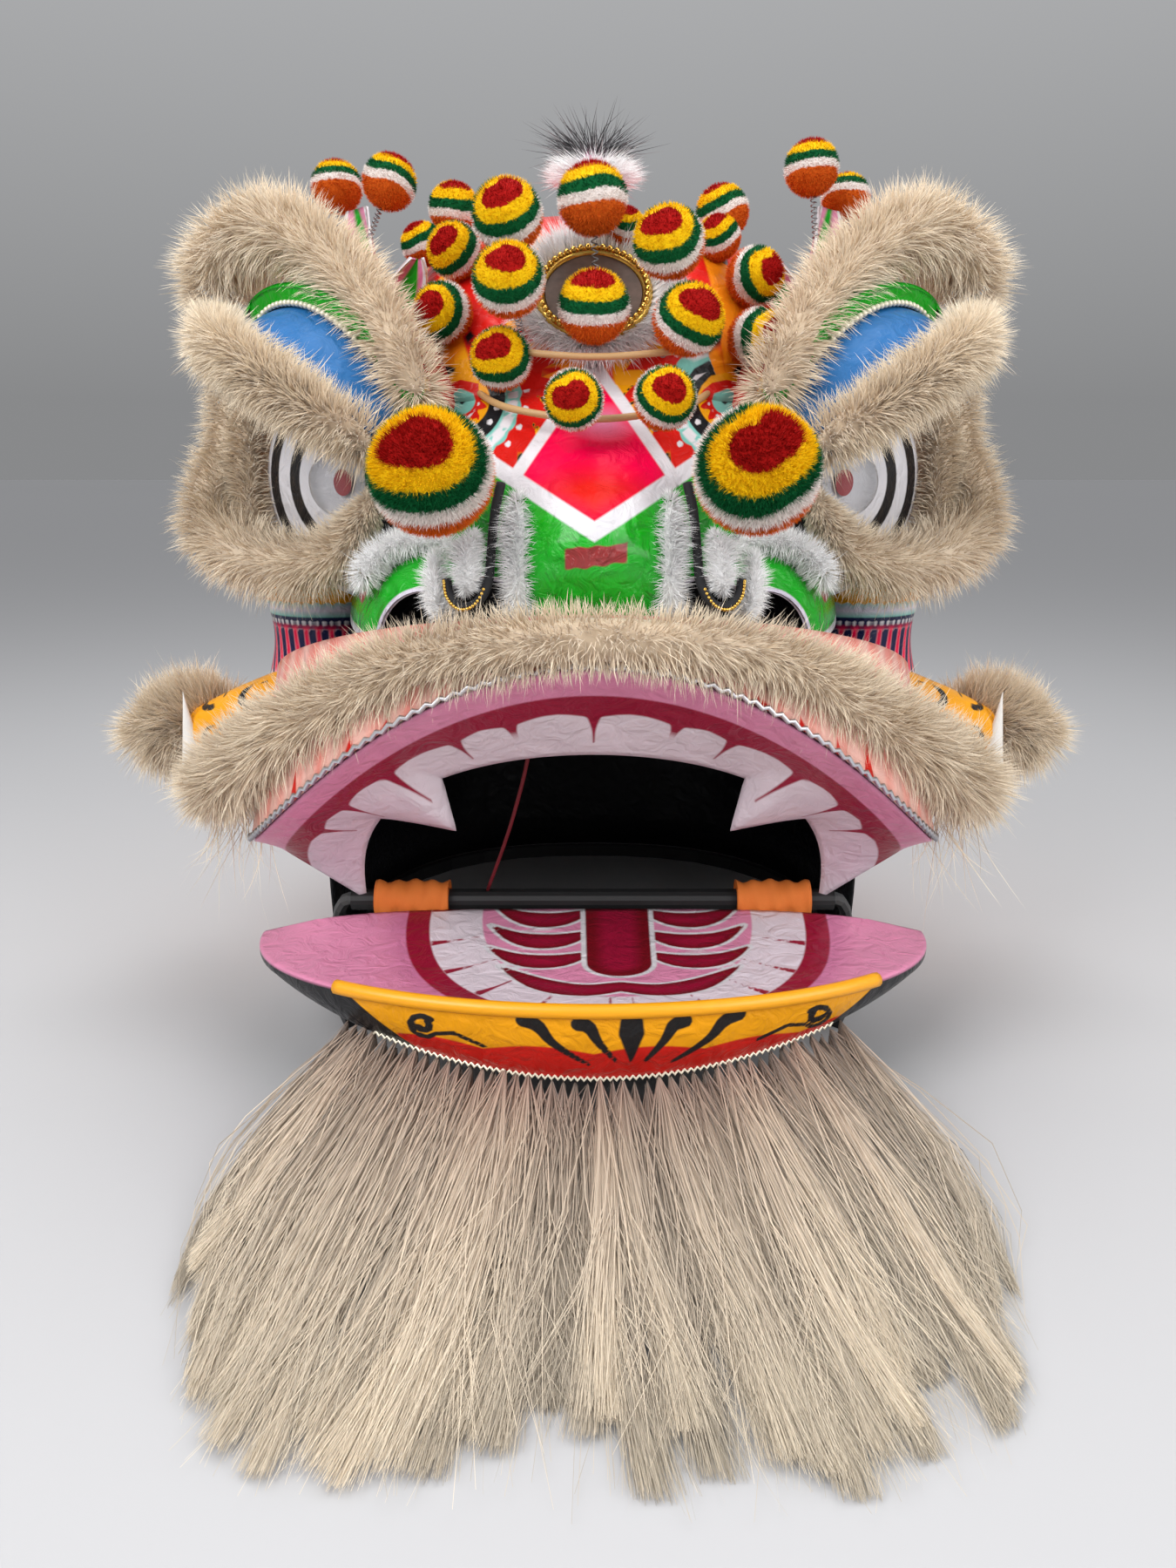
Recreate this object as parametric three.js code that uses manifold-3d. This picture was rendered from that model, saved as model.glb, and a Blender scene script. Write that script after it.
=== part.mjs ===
// A lion dance head of painted paper over a bamboo frame, standing on its rim hoop.
// Millimetres, +Z up, the face looks towards -Y, the origin is the middle of the footprint.
import * as THREE from "three";
import Module from "manifold-3d";

const wasm = await Module();
wasm.setup();

// Seams and walls
const SEAM = 0.6;
const PAPER = 3;
const TURN = Math.PI / 180;

// The skull is a dome over a rounded plan, with its face side cut high
const SKULL = { y: 200, half: 245, front: 315, back: 270, foot: 14.4, rise: 641 };
const FACE_EDGE = { from: 100, to: 150, height: 505 };
const HOOP = { end: 134, foot: 109, outer: 4, inner: 9, height: 14 };

// The jaw turns on a bar across the mouth
const BAR = { y: 30, z: 105, radius: 9, half: 205 };
const SLEEVE = { from: 122, to: 184, inner: 9.6, outer: 16.5 };
const MOUTH = { half: 268, cornerY: -15, reach: 160, cornerZ: 180, arch: 159 };
const TEETH = { half: 192, hingeY: 28, reach: 123, hingeZ: 106, arch: 157 };
const FANG = { from: 36, tip: 42, to: 60, x: -24, y: 4, z: -36 };
const JAW = { rimZ: 99, backHalf: 225, backY: 17, dish: 8, fold: 0.6 };

// The lid turns on the line between these two pivots, right eye
const PIVOT_IN = new THREE.Vector3(122, -50, 455);
const PIVOT_OUT = new THREE.Vector3(262, 50, 545);
const LID = { radius: 70, from: -4, to: 72, wall: 2.4, close: 25 };
const BROW = { radius: 86, from: 52, to: 250, wall: 3 };
const EYE = { x: 180, y: -25, z: 450, radius: 26, out: 112, in: 70, tall: 86, hollow: 22 };

// Nose and bridge, bottom to top: profile, half width, and how far the sides fall back and sag
const SNOUT_ROWS = [
  { y: -152, z: 364, half: 52, back: 16, sag: 4 },
  { y: -168, z: 398, half: 50, back: 22, sag: 6 },
  { y: -164, z: 428, half: 52, back: 26, sag: 10 },
  { y: -132, z: 458, half: 90, back: 40, sag: 22 },
  { y: -98, z: 484, half: 100, back: 30, sag: 16 },
  { y: -64, z: 509, half: 104, back: 24, sag: 10 },
];
// A nostril is a hood on the side of the nose that widens from its small mouth to its back edge
const NOSTRIL = { x: 113, z: 342, wide: 71, tall: 80, mouth: 0.48, y: -152, deep: 78, sweep: 0.42 };
const CHEEK = { x: 218, y: 92, radius: 60, waist: 9, low: 282, high: 368, from: -125, to: 25 };
const MUZZLE = { half: 255, y: 60, reach: 215, z: 290, arch: 78 };
const MIRROR = { y: -24, z: 576, glass: 34, ring: 42, lean: 36 };

// Ears, right side: a cupped leaf from its root to its tip
const EAR = { x: 182, y: 116, root: 540, tip: 662, half: 34, cup: 20, wall: 2.4, fold: 18 };
const EAR_ROOT = new THREE.Vector3(182, 116, 541);
const EAR_HINGE = new THREE.Vector3(-0.544, -0.583, 0.602).normalize();

// Fur edgings, right side: centre line and thickness of the pile
const BROW_FUR = [
  { x: 116, y: -64, z: 512, r: 24 },
  { x: 150, y: -42, z: 558, r: 30 },
  { x: 188, y: -10, z: 602, r: 34 },
  { x: 236, y: 34, z: 630, r: 38 },
  { x: 284, y: 68, z: 622, r: 40 },
  { x: 312, y: 88, z: 594, r: 34 },
];
const RIM_FUR = [
  { x: 152, y: -76, z: 440, r: 20 },
  { x: 172, y: -62, z: 408, r: 29 },
  { x: 234, y: -18, z: 390, r: 31 },
  { x: 296, y: 48, z: 402, r: 37 },
  { x: 322, y: 76, z: 430, r: 35 },
  { x: 302, y: 94, z: 480, r: 31 },
  { x: 300, y: 104, z: 530, r: 30 },
];
const LIP_FUR = [
  { x: 0, y: -182, z: 357, r: 27 },
  { x: 104, y: -152, z: 341, r: 30 },
  { x: 170, y: -122, z: 311, r: 34 },
  { x: 225, y: -84, z: 273, r: 38 },
  { x: 270, y: -45, z: 239, r: 41 },
  { x: 302, y: -8, z: 214, r: 38 },
];
const LID_FUR = { angle: 0, lift: 17, radius: 23, from: 0.06, to: 1.0 };
const GILL = [
  { x: 246, y: 62, z: 276, r: 26 },
  { x: 296, y: 66, z: 254, r: 27 },
  { x: 338, y: 76, z: 238, r: 22 },
];
const TUSK = { x: 338, y: 54, z: 232, wide: 8, thick: 5, tall: 62 };
const GILL_FUR = [
  { x: 322, y: 104, z: 250, r: 40 },
  { x: 358, y: 106, z: 243, r: 55 },
  { x: 392, y: 108, z: 236, r: 40 },
];
const HORN = [
  { x: 0, y: 64, z: 632, r: 27 },
  { x: 0, y: 76, z: 662, r: 22 },
  { x: 0, y: 98, z: 694, r: 9 },
];

// Bamboo strips bowed in front of the forehead, right half from the middle out
const HOOP_UPPER = [
  { x: 0, y: -82, z: 532 },
  { x: 62, y: -60, z: 538 },
  { x: 92, y: -6, z: 545 },
];
const HOOP_LOWER = [
  { x: 0, y: -114, z: 491 },
  { x: 57, y: -92, z: 499 },
  { x: 86, y: -26, z: 515 },
];
const STRIP = 2.4;

// The beard fans out from the jaw's lower edge and lies on the floor in locks
const BEARD = { locks: 13, spread: 56, endX: 236, endY: -348, midY: -482, thick: 26, tip: 13 };

// The cord hangs inside the mouth
const CORD = [
  { x: -89, y: 26, z: 115 },
  { x: -64, y: -4, z: 190 },
  { x: -46, y: -30, z: 270 },
  { x: -34, y: -58, z: 390 },
  { x: -26, y: -92, z: 486 },
];
const CORD_RADIUS = 1.6;

// Pompoms on springs: middle, size, and the way the striped pole points
const POMPOMS = [
  { name: "pompom_nose_left", at: [-100, -171, 458], r: 40, pole: [-0.2, -0.82, 0.5] },
  { name: "pompom_nose_right", at: [99, -174, 459], r: 40, pole: [0.05, -0.8, 0.55] },
  { name: "pompom_ear_left_outer", at: [-211, 150, 684], r: 22, pole: [0.0, 0.31, 0.95], stem: 30 },
  { name: "pompom_ear_left_inner", at: [-159, 95, 676], r: 22, pole: [0.41, -0.05, 0.91], stem: 24 },
  { name: "pompom_ear_right_inner", at: [170, 95, 686], r: 22, pole: [-0.12, -0.04, 0.99], stem: 30 },
  { name: "pompom_ear_right_outer", at: [209, 150, 675], r: 21, pole: [-0.05, 0.38, 0.93], stem: 23 },
  { name: "pompom_01", at: [-107, 72, 653], r: 20, pole: [0.1, -0.4, 0.9] },
  { name: "pompom_02", at: [-130, 58, 625], r: 17, pole: [-0.5, -0.2, 0.8] },
  { name: "pompom_03", at: [-58, -58, 623], r: 25, pole: [-0.15, -0.8, 0.55] },
  { name: "pompom_04", at: [-101, 13, 613], r: 21, pole: [-0.45, -0.8, 0.3] },
  { name: "pompom_05", at: [-56, -87, 579], r: 25, pole: [-0.1, -0.85, 0.5] },
  { name: "pompom_06", at: [-107, -22, 567], r: 22, pole: [-0.55, -0.8, 0.15] },
  { name: "pompom_07", at: [-63, -68, 532], r: 22, pole: [-0.2, -0.9, 0.35] },
  { name: "pompom_08", at: [-13, -130, 502], r: 20, pole: [-0.15, -0.95, 0.15] },
  { name: "pompom_09", at: [45, -130, 503], r: 21, pole: [0.1, -0.9, 0.4] },
  { name: "pompom_10", at: [0, -75, 564], r: 25, pole: [0.0, -0.55, 0.83] },
  { name: "pompom_11", at: [-1, -34, 638], r: 25, pole: [-0.05, -0.1, 0.99] },
  { name: "pompom_12", at: [22, 3, 626], r: 16, pole: [0.2, -0.3, 0.9] },
  { name: "pompom_13", at: [50, -62, 606], r: 25, pole: [-0.3, -0.8, 0.45] },
  { name: "pompom_14", at: [99, 70, 650], r: 21, pole: [-0.3, -0.1, 0.95] },
  { name: "pompom_15", at: [92, 26, 624], r: 17, pole: [-0.3, -0.5, 0.8] },
  { name: "pompom_16", at: [117, 3, 594], r: 22, pole: [0.6, -0.7, 0.25] },
  { name: "pompom_17", at: [63, -77, 556], r: 25, pole: [0.35, -0.8, 0.45] },
  { name: "pompom_18", at: [115, -34, 548], r: 22, pole: [0.55, -0.8, 0.15] },
];
const SPRING = { radius: 2.4, length: 130 };

// Colours read off the object
const LOOKS = {
  paper: { color: 0xe8a23a, roughness: 0.35, metalness: 0 },
  nose: { color: 0x2fb45a, roughness: 0.2, metalness: 0 },
  lip: { color: 0xe79bc0, roughness: 0.4, metalness: 0 },
  teeth: { color: 0xe9e2ee, roughness: 0.45, metalness: 0 },
  cheek: { color: 0xf2eef2, roughness: 0.35, metalness: 0 },
  stripe: { color: 0xf4f4f4, roughness: 0.4, metalness: 0 },
  glass: { color: 0xd8dde0, roughness: 0.05, metalness: 0 },
  satin: { color: 0x4f8fd0, roughness: 0.4, metalness: 0 },
  brow: { color: 0x3aa648, roughness: 0.35, metalness: 0 },
  fur: { color: 0xc9b899, roughness: 0.9, metalness: 0 },
  beard: { color: 0xd8c9ae, roughness: 0.8, metalness: 0 },
  bamboo: { color: 0xb98a55, roughness: 0.6, metalness: 0 },
  black: { color: 0x18181a, roughness: 0.5, metalness: 0 },
  yellow: { color: 0xf0ae28, roughness: 0.3, metalness: 0 },
  mirror: { color: 0xcfd4d8, roughness: 0.05, metalness: 1 },
  horn: { color: 0xe06a88, roughness: 0.4, metalness: 0 },
  pompom: { color: 0xe06a2a, roughness: 0.95, metalness: 0 },
  cord: { color: 0x7a1418, roughness: 0.8, metalness: 0 },
};

// Points that fall together become one, and flat faces go
function weld(points, faces) {
  const seen = new Map();
  const kept = [];
  const at = points.map((p) => {
    const key = [p.x, p.y, p.z].map((c) => Math.round(c * 500)).join(",");
    if (!seen.has(key)) {
      seen.set(key, kept.length);
      kept.push(p);
    }
    return seen.get(key);
  });
  const sound = faces
    .map((f) => f.map((i) => at[i]))
    .filter(([a, b, c]) => a !== b && b !== c && c !== a);
  return { points: kept, faces: sound };
}

function meshOf(geometry) {
  const place = geometry.getAttribute("position");
  const points = [];
  for (let i = 0; i < place.count; i += 1) {
    points.push(new THREE.Vector3().fromBufferAttribute(place, i));
  }
  const order = geometry.index ? Array.from(geometry.index.array) : points.map((p, i) => i);
  const faces = [];
  for (let i = 0; i < order.length; i += 3) {
    faces.push([order[i], order[i + 1], order[i + 2]]);
  }
  return weld(points, faces);
}

// An open surface from a function of two numbers, each running from 0 to 1
function surface(pointAt, across, along) {
  const points = [];
  const faces = [];
  for (let j = 0; j <= along; j += 1) {
    for (let i = 0; i <= across; i += 1) {
      points.push(pointAt(i / across, j / along));
    }
  }
  for (let j = 0; j < along; j += 1) {
    for (let i = 0; i < across; i += 1) {
      const a = j * (across + 1) + i;
      const b = a + across + 1;
      faces.push([a, a + 1, b], [a + 1, b + 1, b]);
    }
  }
  return weld(points, faces);
}

function faceNormal(points, [a, b, c]) {
  const side = points[b].clone().sub(points[a]);
  return side.cross(points[c].clone().sub(points[a])).normalize();
}

function pointNormals({ points, faces }) {
  const normals = points.map(() => new THREE.Vector3());
  for (const face of faces) {
    const n = faceNormal(points, face);
    face.forEach((i) => normals[i].add(n));
  }
  return normals.map((n) => n.normalize());
}

// A wall of even thickness on an open surface
function thicken(mesh, wall) {
  const { points, faces } = mesh;
  const count = points.length;
  const normals = pointNormals(mesh);
  const shifted = (s) => points.map((p, i) => p.clone().addScaledVector(normals[i], (s * wall) / 2));
  const edges = new Map();
  for (const [a, b, c] of faces) {
    for (const [from, to] of [[a, b], [b, c], [c, a]]) {
      edges.set(`${from},${to}`, [from, to]);
    }
  }
  const walls = [...faces];
  for (const [a, b, c] of faces) {
    walls.push([a + count, c + count, b + count]);
  }
  for (const [from, to] of edges.values()) {
    if (!edges.has(`${to},${from}`)) {
      walls.push([to, from, from + count], [to, from + count, to + count]);
    }
  }
  return { points: [...shifted(1), ...shifted(-1)], faces: walls };
}

function outward({ points, faces }) {
  let volume = 0;
  for (const [a, b, c] of faces) {
    volume += points[a].dot(points[b].clone().cross(points[c]));
  }
  return { points, faces: volume < 0 ? faces.map(([a, b, c]) => [a, c, b]) : faces };
}

function inflate(mesh, by) {
  const normals = pointNormals(mesh);
  return { points: mesh.points.map((p, i) => p.clone().addScaledVector(normals[i], by)), faces: mesh.faces };
}

function turned({ points, faces }, root, axis, degrees) {
  const spin = (p) => p.clone().sub(root).applyAxisAngle(axis, degrees * TURN).add(root);
  return { points: points.map(spin), faces };
}

function mirrored({ points, faces }) {
  const flipped = points.map((p) => new THREE.Vector3(-p.x, p.y, p.z));
  return { points: flipped, faces: faces.map(([a, b, c]) => [a, c, b]) };
}

function solidOf({ points, faces }) {
  const vertProperties = new Float32Array(points.flatMap((p) => [p.x, p.y, p.z]));
  const triVerts = new Uint32Array(faces.flat());
  return new wasm.Manifold(new wasm.Mesh({ numProp: 3, vertProperties, triVerts }));
}

function geometryOf(solid) {
  const { vertProperties, triVerts, numProp } = solid.getMesh();
  const place = new Float32Array((vertProperties.length / numProp) * 3);
  for (let i = 0; i < place.length / 3; i += 1) {
    place.set(vertProperties.subarray(i * numProp, i * numProp + 3), i * 3);
  }
  const geometry = new THREE.BufferGeometry();
  geometry.setAttribute("position", new THREE.BufferAttribute(place, 3));
  geometry.setIndex(new THREE.BufferAttribute(new Uint32Array(triVerts), 1));
  geometry.computeVertexNormals();
  return geometry;
}

function joined(...meshes) {
  const solid = meshes.map((m) => solidOf(outward(m))).reduce((whole, m) => whole.add(m));
  return meshOf(geometryOf(solid));
}

const vec = (x, y, z) => new THREE.Vector3(x, y, z);
const mix = (a, b, t) => a + (b - a) * t;
const smooth = (a, b, x) => THREE.MathUtils.smoothstep(x, a, b);
const curveOf = (rows) => new THREE.CatmullRomCurve3(rows.map((p) => vec(p.x, p.y, p.z)));

// A number that runs smoothly through evenly spaced rows
function along(rows, key, t) {
  const line = new THREE.SplineCurve(rows.map((row, i) => new THREE.Vector2(i, row[key])));
  return line.getPoint(t).y;
}

// A tufted roll of fur: the pile stands in staggered locks round its centre line
function furRoll(rows, { steps, sides, lock }) {
  const line = curveOf(rows);
  const frames = line.computeFrenetFrames(steps, false);
  const points = [];
  const faces = [];
  const middle = (i) => line.getPointAt(i / steps);
  for (let i = 0; i <= steps; i += 1) {
    const t = line.getUtoTmapping(i / steps);
    const taper = i === 0 || i === steps ? 0.72 : 1;
    for (let k = 0; k < sides; k += 1) {
      const a = (k / sides) * 2 * Math.PI;
      const r = along(rows, "r", t) * taper * (1 + ((i + k) % 2 ? lock : -lock));
      const out = frames.normals[i].clone().multiplyScalar(r * Math.cos(a));
      points.push(middle(i).add(out.addScaledVector(frames.binormals[i], r * Math.sin(a))));
    }
  }
  for (let i = 0; i < steps; i += 1) {
    for (let k = 0; k < sides; k += 1) {
      const a = i * sides + k;
      const b = i * sides + ((k + 1) % sides);
      faces.push([a, b, a + sides], [b, b + sides, a + sides]);
    }
  }
  for (const [i, way] of [[0, -1], [steps, 1]]) {
    const end = rows[i === 0 ? 0 : rows.length - 1].r;
    points.push(middle(i).addScaledVector(frames.tangents[i], way * end * 0.55));
    for (let k = 0; k < sides; k += 1) {
      const ring = [i * sides + k, i * sides + ((k + 1) % sides)];
      faces.push([points.length - 1, ...(way < 0 ? ring.reverse() : ring)]);
    }
  }
  return outward({ points, faces });
}

function rod(line, radius, steps, sides) {
  const round = new THREE.Shape();
  round.absarc(0, 0, radius, 0, 2 * Math.PI);
  const settings = { steps, extrudePath: line, bevelEnabled: false, curveSegments: sides / 2 };
  return meshOf(new THREE.ExtrudeGeometry(round, settings));
}

// Turns a solid of revolution to point its axis a given way
function aimed(geometry, at, way) {
  const turn = new THREE.Quaternion().setFromUnitVectors(vec(0, 1, 0), way.clone().normalize());
  return meshOf(geometry.applyQuaternion(turn).translate(at.x, at.y, at.z));
}

// Skull: plan radius by angle from the back, then the dome over it
function planRadius(angle) {
  const deep = Math.cos(angle) > 0 ? SKULL.back : SKULL.front;
  const side = (Math.abs(Math.sin(angle)) / SKULL.half) ** 2.4;
  return (side + (Math.abs(Math.cos(angle)) / deep) ** 2.4) ** (-1 / 2.4);
}

function planPoint(angle, extra, z) {
  const r = planRadius(angle) + extra;
  return vec(r * Math.sin(angle), SKULL.y + r * Math.cos(angle), z);
}

function dome(angle, climb) {
  const round = 0.55 + 0.35 * ((1 + Math.cos(angle)) / 2) ** 2;
  const r = planRadius(angle) * Math.max(0, Math.cos(climb)) ** round;
  const z = SKULL.foot + SKULL.rise * Math.sin(climb) ** 0.8;
  return vec(r * Math.sin(angle), SKULL.y + r * Math.cos(angle), z);
}

function skullPoint(u, v) {
  const angle = mix(-180, 180, u) * TURN;
  const edge = smooth(FACE_EDGE.from, FACE_EDGE.to, Math.abs(angle) / TURN);
  const low = ((edge * (FACE_EDGE.height - SKULL.foot)) / SKULL.rise) ** 1.25;
  return dome(angle, mix(Math.asin(low), Math.PI / 2, v));
}

// Small painted leaf that stands on the side of the forehead
function foreheadLeaf() {
  const leaf = (u, v) => {
    const wide = 26 * Math.sin(Math.PI * mix(0.32, 0.9, v));
    const x = mix(112, 124, v) + wide * (u - 0.5);
    const y = mix(34, 50, v) + 6 * Math.sin(Math.PI * u);
    return vec(x, y, mix(560, 602, v));
  };
  return thicken(surface(leaf, 2, 4), PAPER);
}

function baseHoop() {
  const rim = new THREE.Shape();
  const steps = 28;
  const spot = (i, extra) => {
    const p = planPoint(mix(-HOOP.end, HOOP.end, i / steps) * TURN, extra, 0);
    return [p.x, p.y];
  };
  rim.moveTo(...spot(0, HOOP.outer));
  for (let i = 1; i <= steps; i += 1) {
    rim.lineTo(...spot(i, HOOP.outer));
  }
  for (let i = steps; i >= 0; i -= 1) {
    rim.lineTo(...spot(i, -HOOP.inner));
  }
  rim.closePath();
  return meshOf(new THREE.ExtrudeGeometry(rim, { depth: HOOP.height, bevelEnabled: false }));
}

function jawBar() {
  const bar = new THREE.CylinderGeometry(BAR.radius, BAR.radius, 2 * BAR.half, 14);
  bar.rotateZ(Math.PI / 2).translate(0, BAR.y, BAR.z);
  const foot = planPoint(HOOP.foot * TURN, -2.5, HOOP.height + 0.4);
  const end = vec(BAR.half - 8, BAR.y, BAR.z);
  const bend = new THREE.QuadraticBezierCurve3(foot, vec(foot.x, foot.y - 20, 92), end);
  const post = rod(bend, 5.5, 6, 8);
  return [meshOf(bar), post, mirrored(post)];
}

function snoutPoint(u, v) {
  const side = mix(-1, 1, u);
  const at = (key) => along(SNOUT_ROWS, key, v);
  return vec(at("half") * side, at("y") + at("back") * side ** 2, at("z") - at("sag") * side ** 2);
}

function nostrilPoint(u, v) {
  const a = mix(174, 4, u) * TURN;
  const inner = THREE.MathUtils.smoothstep(a, 105 * TURN, 150 * TURN);
  const size = mix(mix(NOSTRIL.mouth, 1, Math.sqrt(v)), 1, inner);
  const x = NOSTRIL.x + NOSTRIL.wide * size * Math.cos(a);
  const y = NOSTRIL.y + NOSTRIL.deep * v + NOSTRIL.sweep * (x - NOSTRIL.x + NOSTRIL.wide);
  return vec(x, y, NOSTRIL.z + NOSTRIL.tall * size * Math.sin(a));
}

function snout() {
  const wing = thicken(surface(nostrilPoint, 8, 3), PAPER);
  return [thicken(surface(snoutPoint, 8, 8), PAPER), wing, mirrored(wing)];
}

// Outer edge of the upper lip, by angle from the middle to the corner
function lipPoint(a) {
  const c = Math.max(0, Math.cos(a));
  const z = MOUTH.cornerZ + MOUTH.arch * c ** 2.2;
  return vec(MOUTH.half * Math.sin(a), MOUTH.cornerY - MOUTH.reach * c, z);
}

function muzzlePoint(u, v) {
  const a = mix(-90, 90, u) * TURN;
  const c = Math.max(0, Math.cos(a));
  const high = vec(MUZZLE.half * Math.sin(a), MUZZLE.y - MUZZLE.reach * c, MUZZLE.z + MUZZLE.arch * c);
  return lipPoint(a).lerp(high, v);
}

// Inner edge of the upper teeth with one fang a side, and the legs down to the bar
function gumPoint(a) {
  const c = Math.max(0, Math.cos(a));
  const y = TEETH.hingeY - TEETH.reach * c ** 1.1;
  const edge = vec(TEETH.half * Math.sin(a), y, TEETH.hingeZ + TEETH.arch * c ** 0.8);
  const turn = Math.abs(a) / TURN;
  const inner = (turn - FANG.from) / (FANG.tip - FANG.from);
  const outer = (FANG.to - turn) / (FANG.to - FANG.tip);
  const near = Math.max(0, Math.min(inner, outer));
  return edge.add(vec(FANG.x * near * Math.sign(a), FANG.y * near, FANG.z * near));
}

function teethPoint(u, v) {
  const a = mix(-90, 90, u) * TURN;
  const inset = lipPoint(a).add(vec(0, 4, -3));
  return inset.lerp(gumPoint(a), v);
}

function cheekPoint(u, v) {
  const a = mix(CHEEK.from, CHEEK.to, u) * TURN;
  const r = CHEEK.radius - CHEEK.waist * Math.sin(Math.PI * v);
  return vec(CHEEK.x + r * Math.cos(a), CHEEK.y + r * Math.sin(a), mix(CHEEK.low, CHEEK.high, v));
}

// Eye: a dish round the dome, facing forward and out
const EYE_WAY = vec(0.6, -0.8, 0);
const EYE_ACROSS = vec(0.8, 0.6, 0);

function socketPoint(u, v) {
  const a = u * 2 * Math.PI;
  const reach = Math.cos(a) > 0 ? EYE.out : EYE.in;
  const p = vec(EYE.x, EYE.y, EYE.z + EYE.tall * v * Math.sin(a));
  return p.addScaledVector(EYE_ACROSS, reach * v * Math.cos(a)).addScaledVector(EYE_WAY, -EYE.hollow * v * v);
}

function eyeball() {
  const profile = [new THREE.Vector2(0, -2)];
  for (let i = 0; i <= 4; i += 1) {
    const a = (i / 4) * (Math.PI / 2);
    profile.push(new THREE.Vector2(EYE.radius * Math.cos(a), EYE.radius * Math.sin(a)));
  }
  profile.splice(1, 0, new THREE.Vector2(EYE.radius, -2));
  profile[profile.length - 1].x = 0;
  const foot = vec(EYE.x, EYE.y, EYE.z).addScaledVector(EYE_WAY, 2.5);
  return outward(aimed(new THREE.LatheGeometry(profile, 12), foot, EYE_WAY));
}

// Frame of the lid's pivot line: along it, forward from it and up from it
const LID_LINE = PIVOT_OUT.clone().sub(PIVOT_IN);
const LID_AXIS = LID_LINE.clone().normalize();
const LID_FRONT = vec(0, -1, 0).addScaledVector(LID_AXIS, LID_AXIS.y).normalize();
const LID_UP = LID_FRONT.clone().cross(LID_AXIS);

function roundLid(s, degrees, radius) {
  const a = degrees * TURN;
  const p = PIVOT_IN.clone().addScaledVector(LID_LINE, s);
  return p.addScaledVector(LID_FRONT, radius * Math.cos(a)).addScaledVector(LID_UP, radius * Math.sin(a));
}

const spindle = (s) => Math.sqrt(Math.sin(Math.PI * THREE.MathUtils.clamp(s, 0.02, 0.98)));

function lid(from, to, wall) {
  const point = (u, v) => {
    const s = mix(0.03, 0.97, u);
    return roundLid(s, mix(from, to, v), LID.radius * spindle(s));
  };
  return thicken(surface(point, 10, 4), wall);
}

function brow() {
  const point = (u, v) => {
    const s = mix(-0.06, 1.06, u);
    return roundLid(s, mix(BROW.from, BROW.to, v), BROW.radius * spindle((s + 0.09) / 1.18));
  };
  return thicken(surface(point, 8, 7), BROW.wall);
}

function lidFurRows() {
  const rows = [];
  for (let i = 0; i <= 5; i += 1) {
    const s = mix(LID_FUR.from, LID_FUR.to, i / 5);
    const p = roundLid(s, LID_FUR.angle, LID.radius * spindle(s) + LID_FUR.lift);
    rows.push({ x: p.x, y: p.y, z: p.z, r: LID_FUR.radius * (i === 0 ? 0.8 : 1) });
  }
  return rows;
}

// Space the lid and its fur pass through as it closes
function lidSweep() {
  const low = LID.from - LID.close - 3;
  const thick = thicken(surface((u, v) => {
    const s = mix(0.0, 1.0, u);
    return roundLid(s, mix(low, LID.to + 2, v), LID.radius * spindle(s));
  }, 8, 4), 7);
  return outward(thick);
}

function furSweep() {
  const rows = lidFurRows();
  const parts = [0, 0.25, 0.5, 0.75, 1].map((t) => rows.map((row) => {
    const p = vec(row.x, row.y, row.z).sub(PIVOT_IN);
    p.applyAxisAngle(LID_AXIS, LID.close * t * TURN).add(PIVOT_IN);
    return { x: p.x, y: p.y, z: p.z, r: row.r + 2.5 };
  }));
  return joined(...parts.map((part) => furRoll(part, { steps: 8, sides: 12, lock: 0 })));
}

function earPoint(u, v) {
  const side = mix(-1, 1, u);
  const wide = EAR.half * Math.sin(Math.PI * mix(0.2, 0.86, v));
  const p = vec(mix(EAR.x, EAR.x + 8, v), mix(EAR.y, EAR.y + 6, v), mix(EAR.root, EAR.tip, v));
  p.addScaledVector(vec(0.67, 0.74, 0), wide * side);
  return p.addScaledVector(vec(0.74, -0.67, 0), EAR.cup * (side * side - 0.4) * Math.sin(Math.PI * v));
}

function mirror() {
  const { glass, ring } = MIRROR;
  const rows = [[0, 0], [ring, 0], [ring, 6], [(ring + glass) / 2, 9], [glass, 5], [0, 5]];
  const profile = rows.map(([r, h]) => new THREE.Vector2(r, h));
  const way = vec(0, -Math.cos(MIRROR.lean * TURN), Math.sin(MIRROR.lean * TURN));
  return outward(aimed(new THREE.LatheGeometry(profile, 20), vec(0, MIRROR.y, MIRROR.z), way));
}

function strip(rows) {
  const left = rows.slice(1).reverse().map((p) => ({ ...p, x: -p.x }));
  return rod(curveOf([...left, ...rows]), STRIP, 16, 6);
}

function gill() {
  const blade = new THREE.ConeGeometry(TUSK.wide, TUSK.tall, 8).scale(1, 1, TUSK.thick / TUSK.wide);
  blade.rotateX(Math.PI / 2).rotateY(0.15).translate(TUSK.x, TUSK.y, TUSK.z + TUSK.tall / 2 - 14);
  return [furRoll(GILL, { steps: 4, sides: 9, lock: 0 }), meshOf(blade)];
}

// Jaw: dished plate, skirt under its front rim, and cloth sleeves round the bar
function jawRim(a) {
  const c = Math.max(0, Math.cos(a));
  const z = JAW.rimZ - 6 * Math.abs(Math.sin(a)) ** 3;
  return vec(MOUTH.half * Math.sin(a), MOUTH.cornerY - MOUTH.reach * c, z);
}

function skirtFoot(a) {
  const c = Math.max(0, Math.cos(Math.min(Math.abs(a) * 1.4, Math.PI / 2)));
  return jawRim(a).multiply(vec(1 - 0.12 * c, 1, 1)).add(vec(0, 2 + 16 * c, -7 - 52 * c));
}

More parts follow.
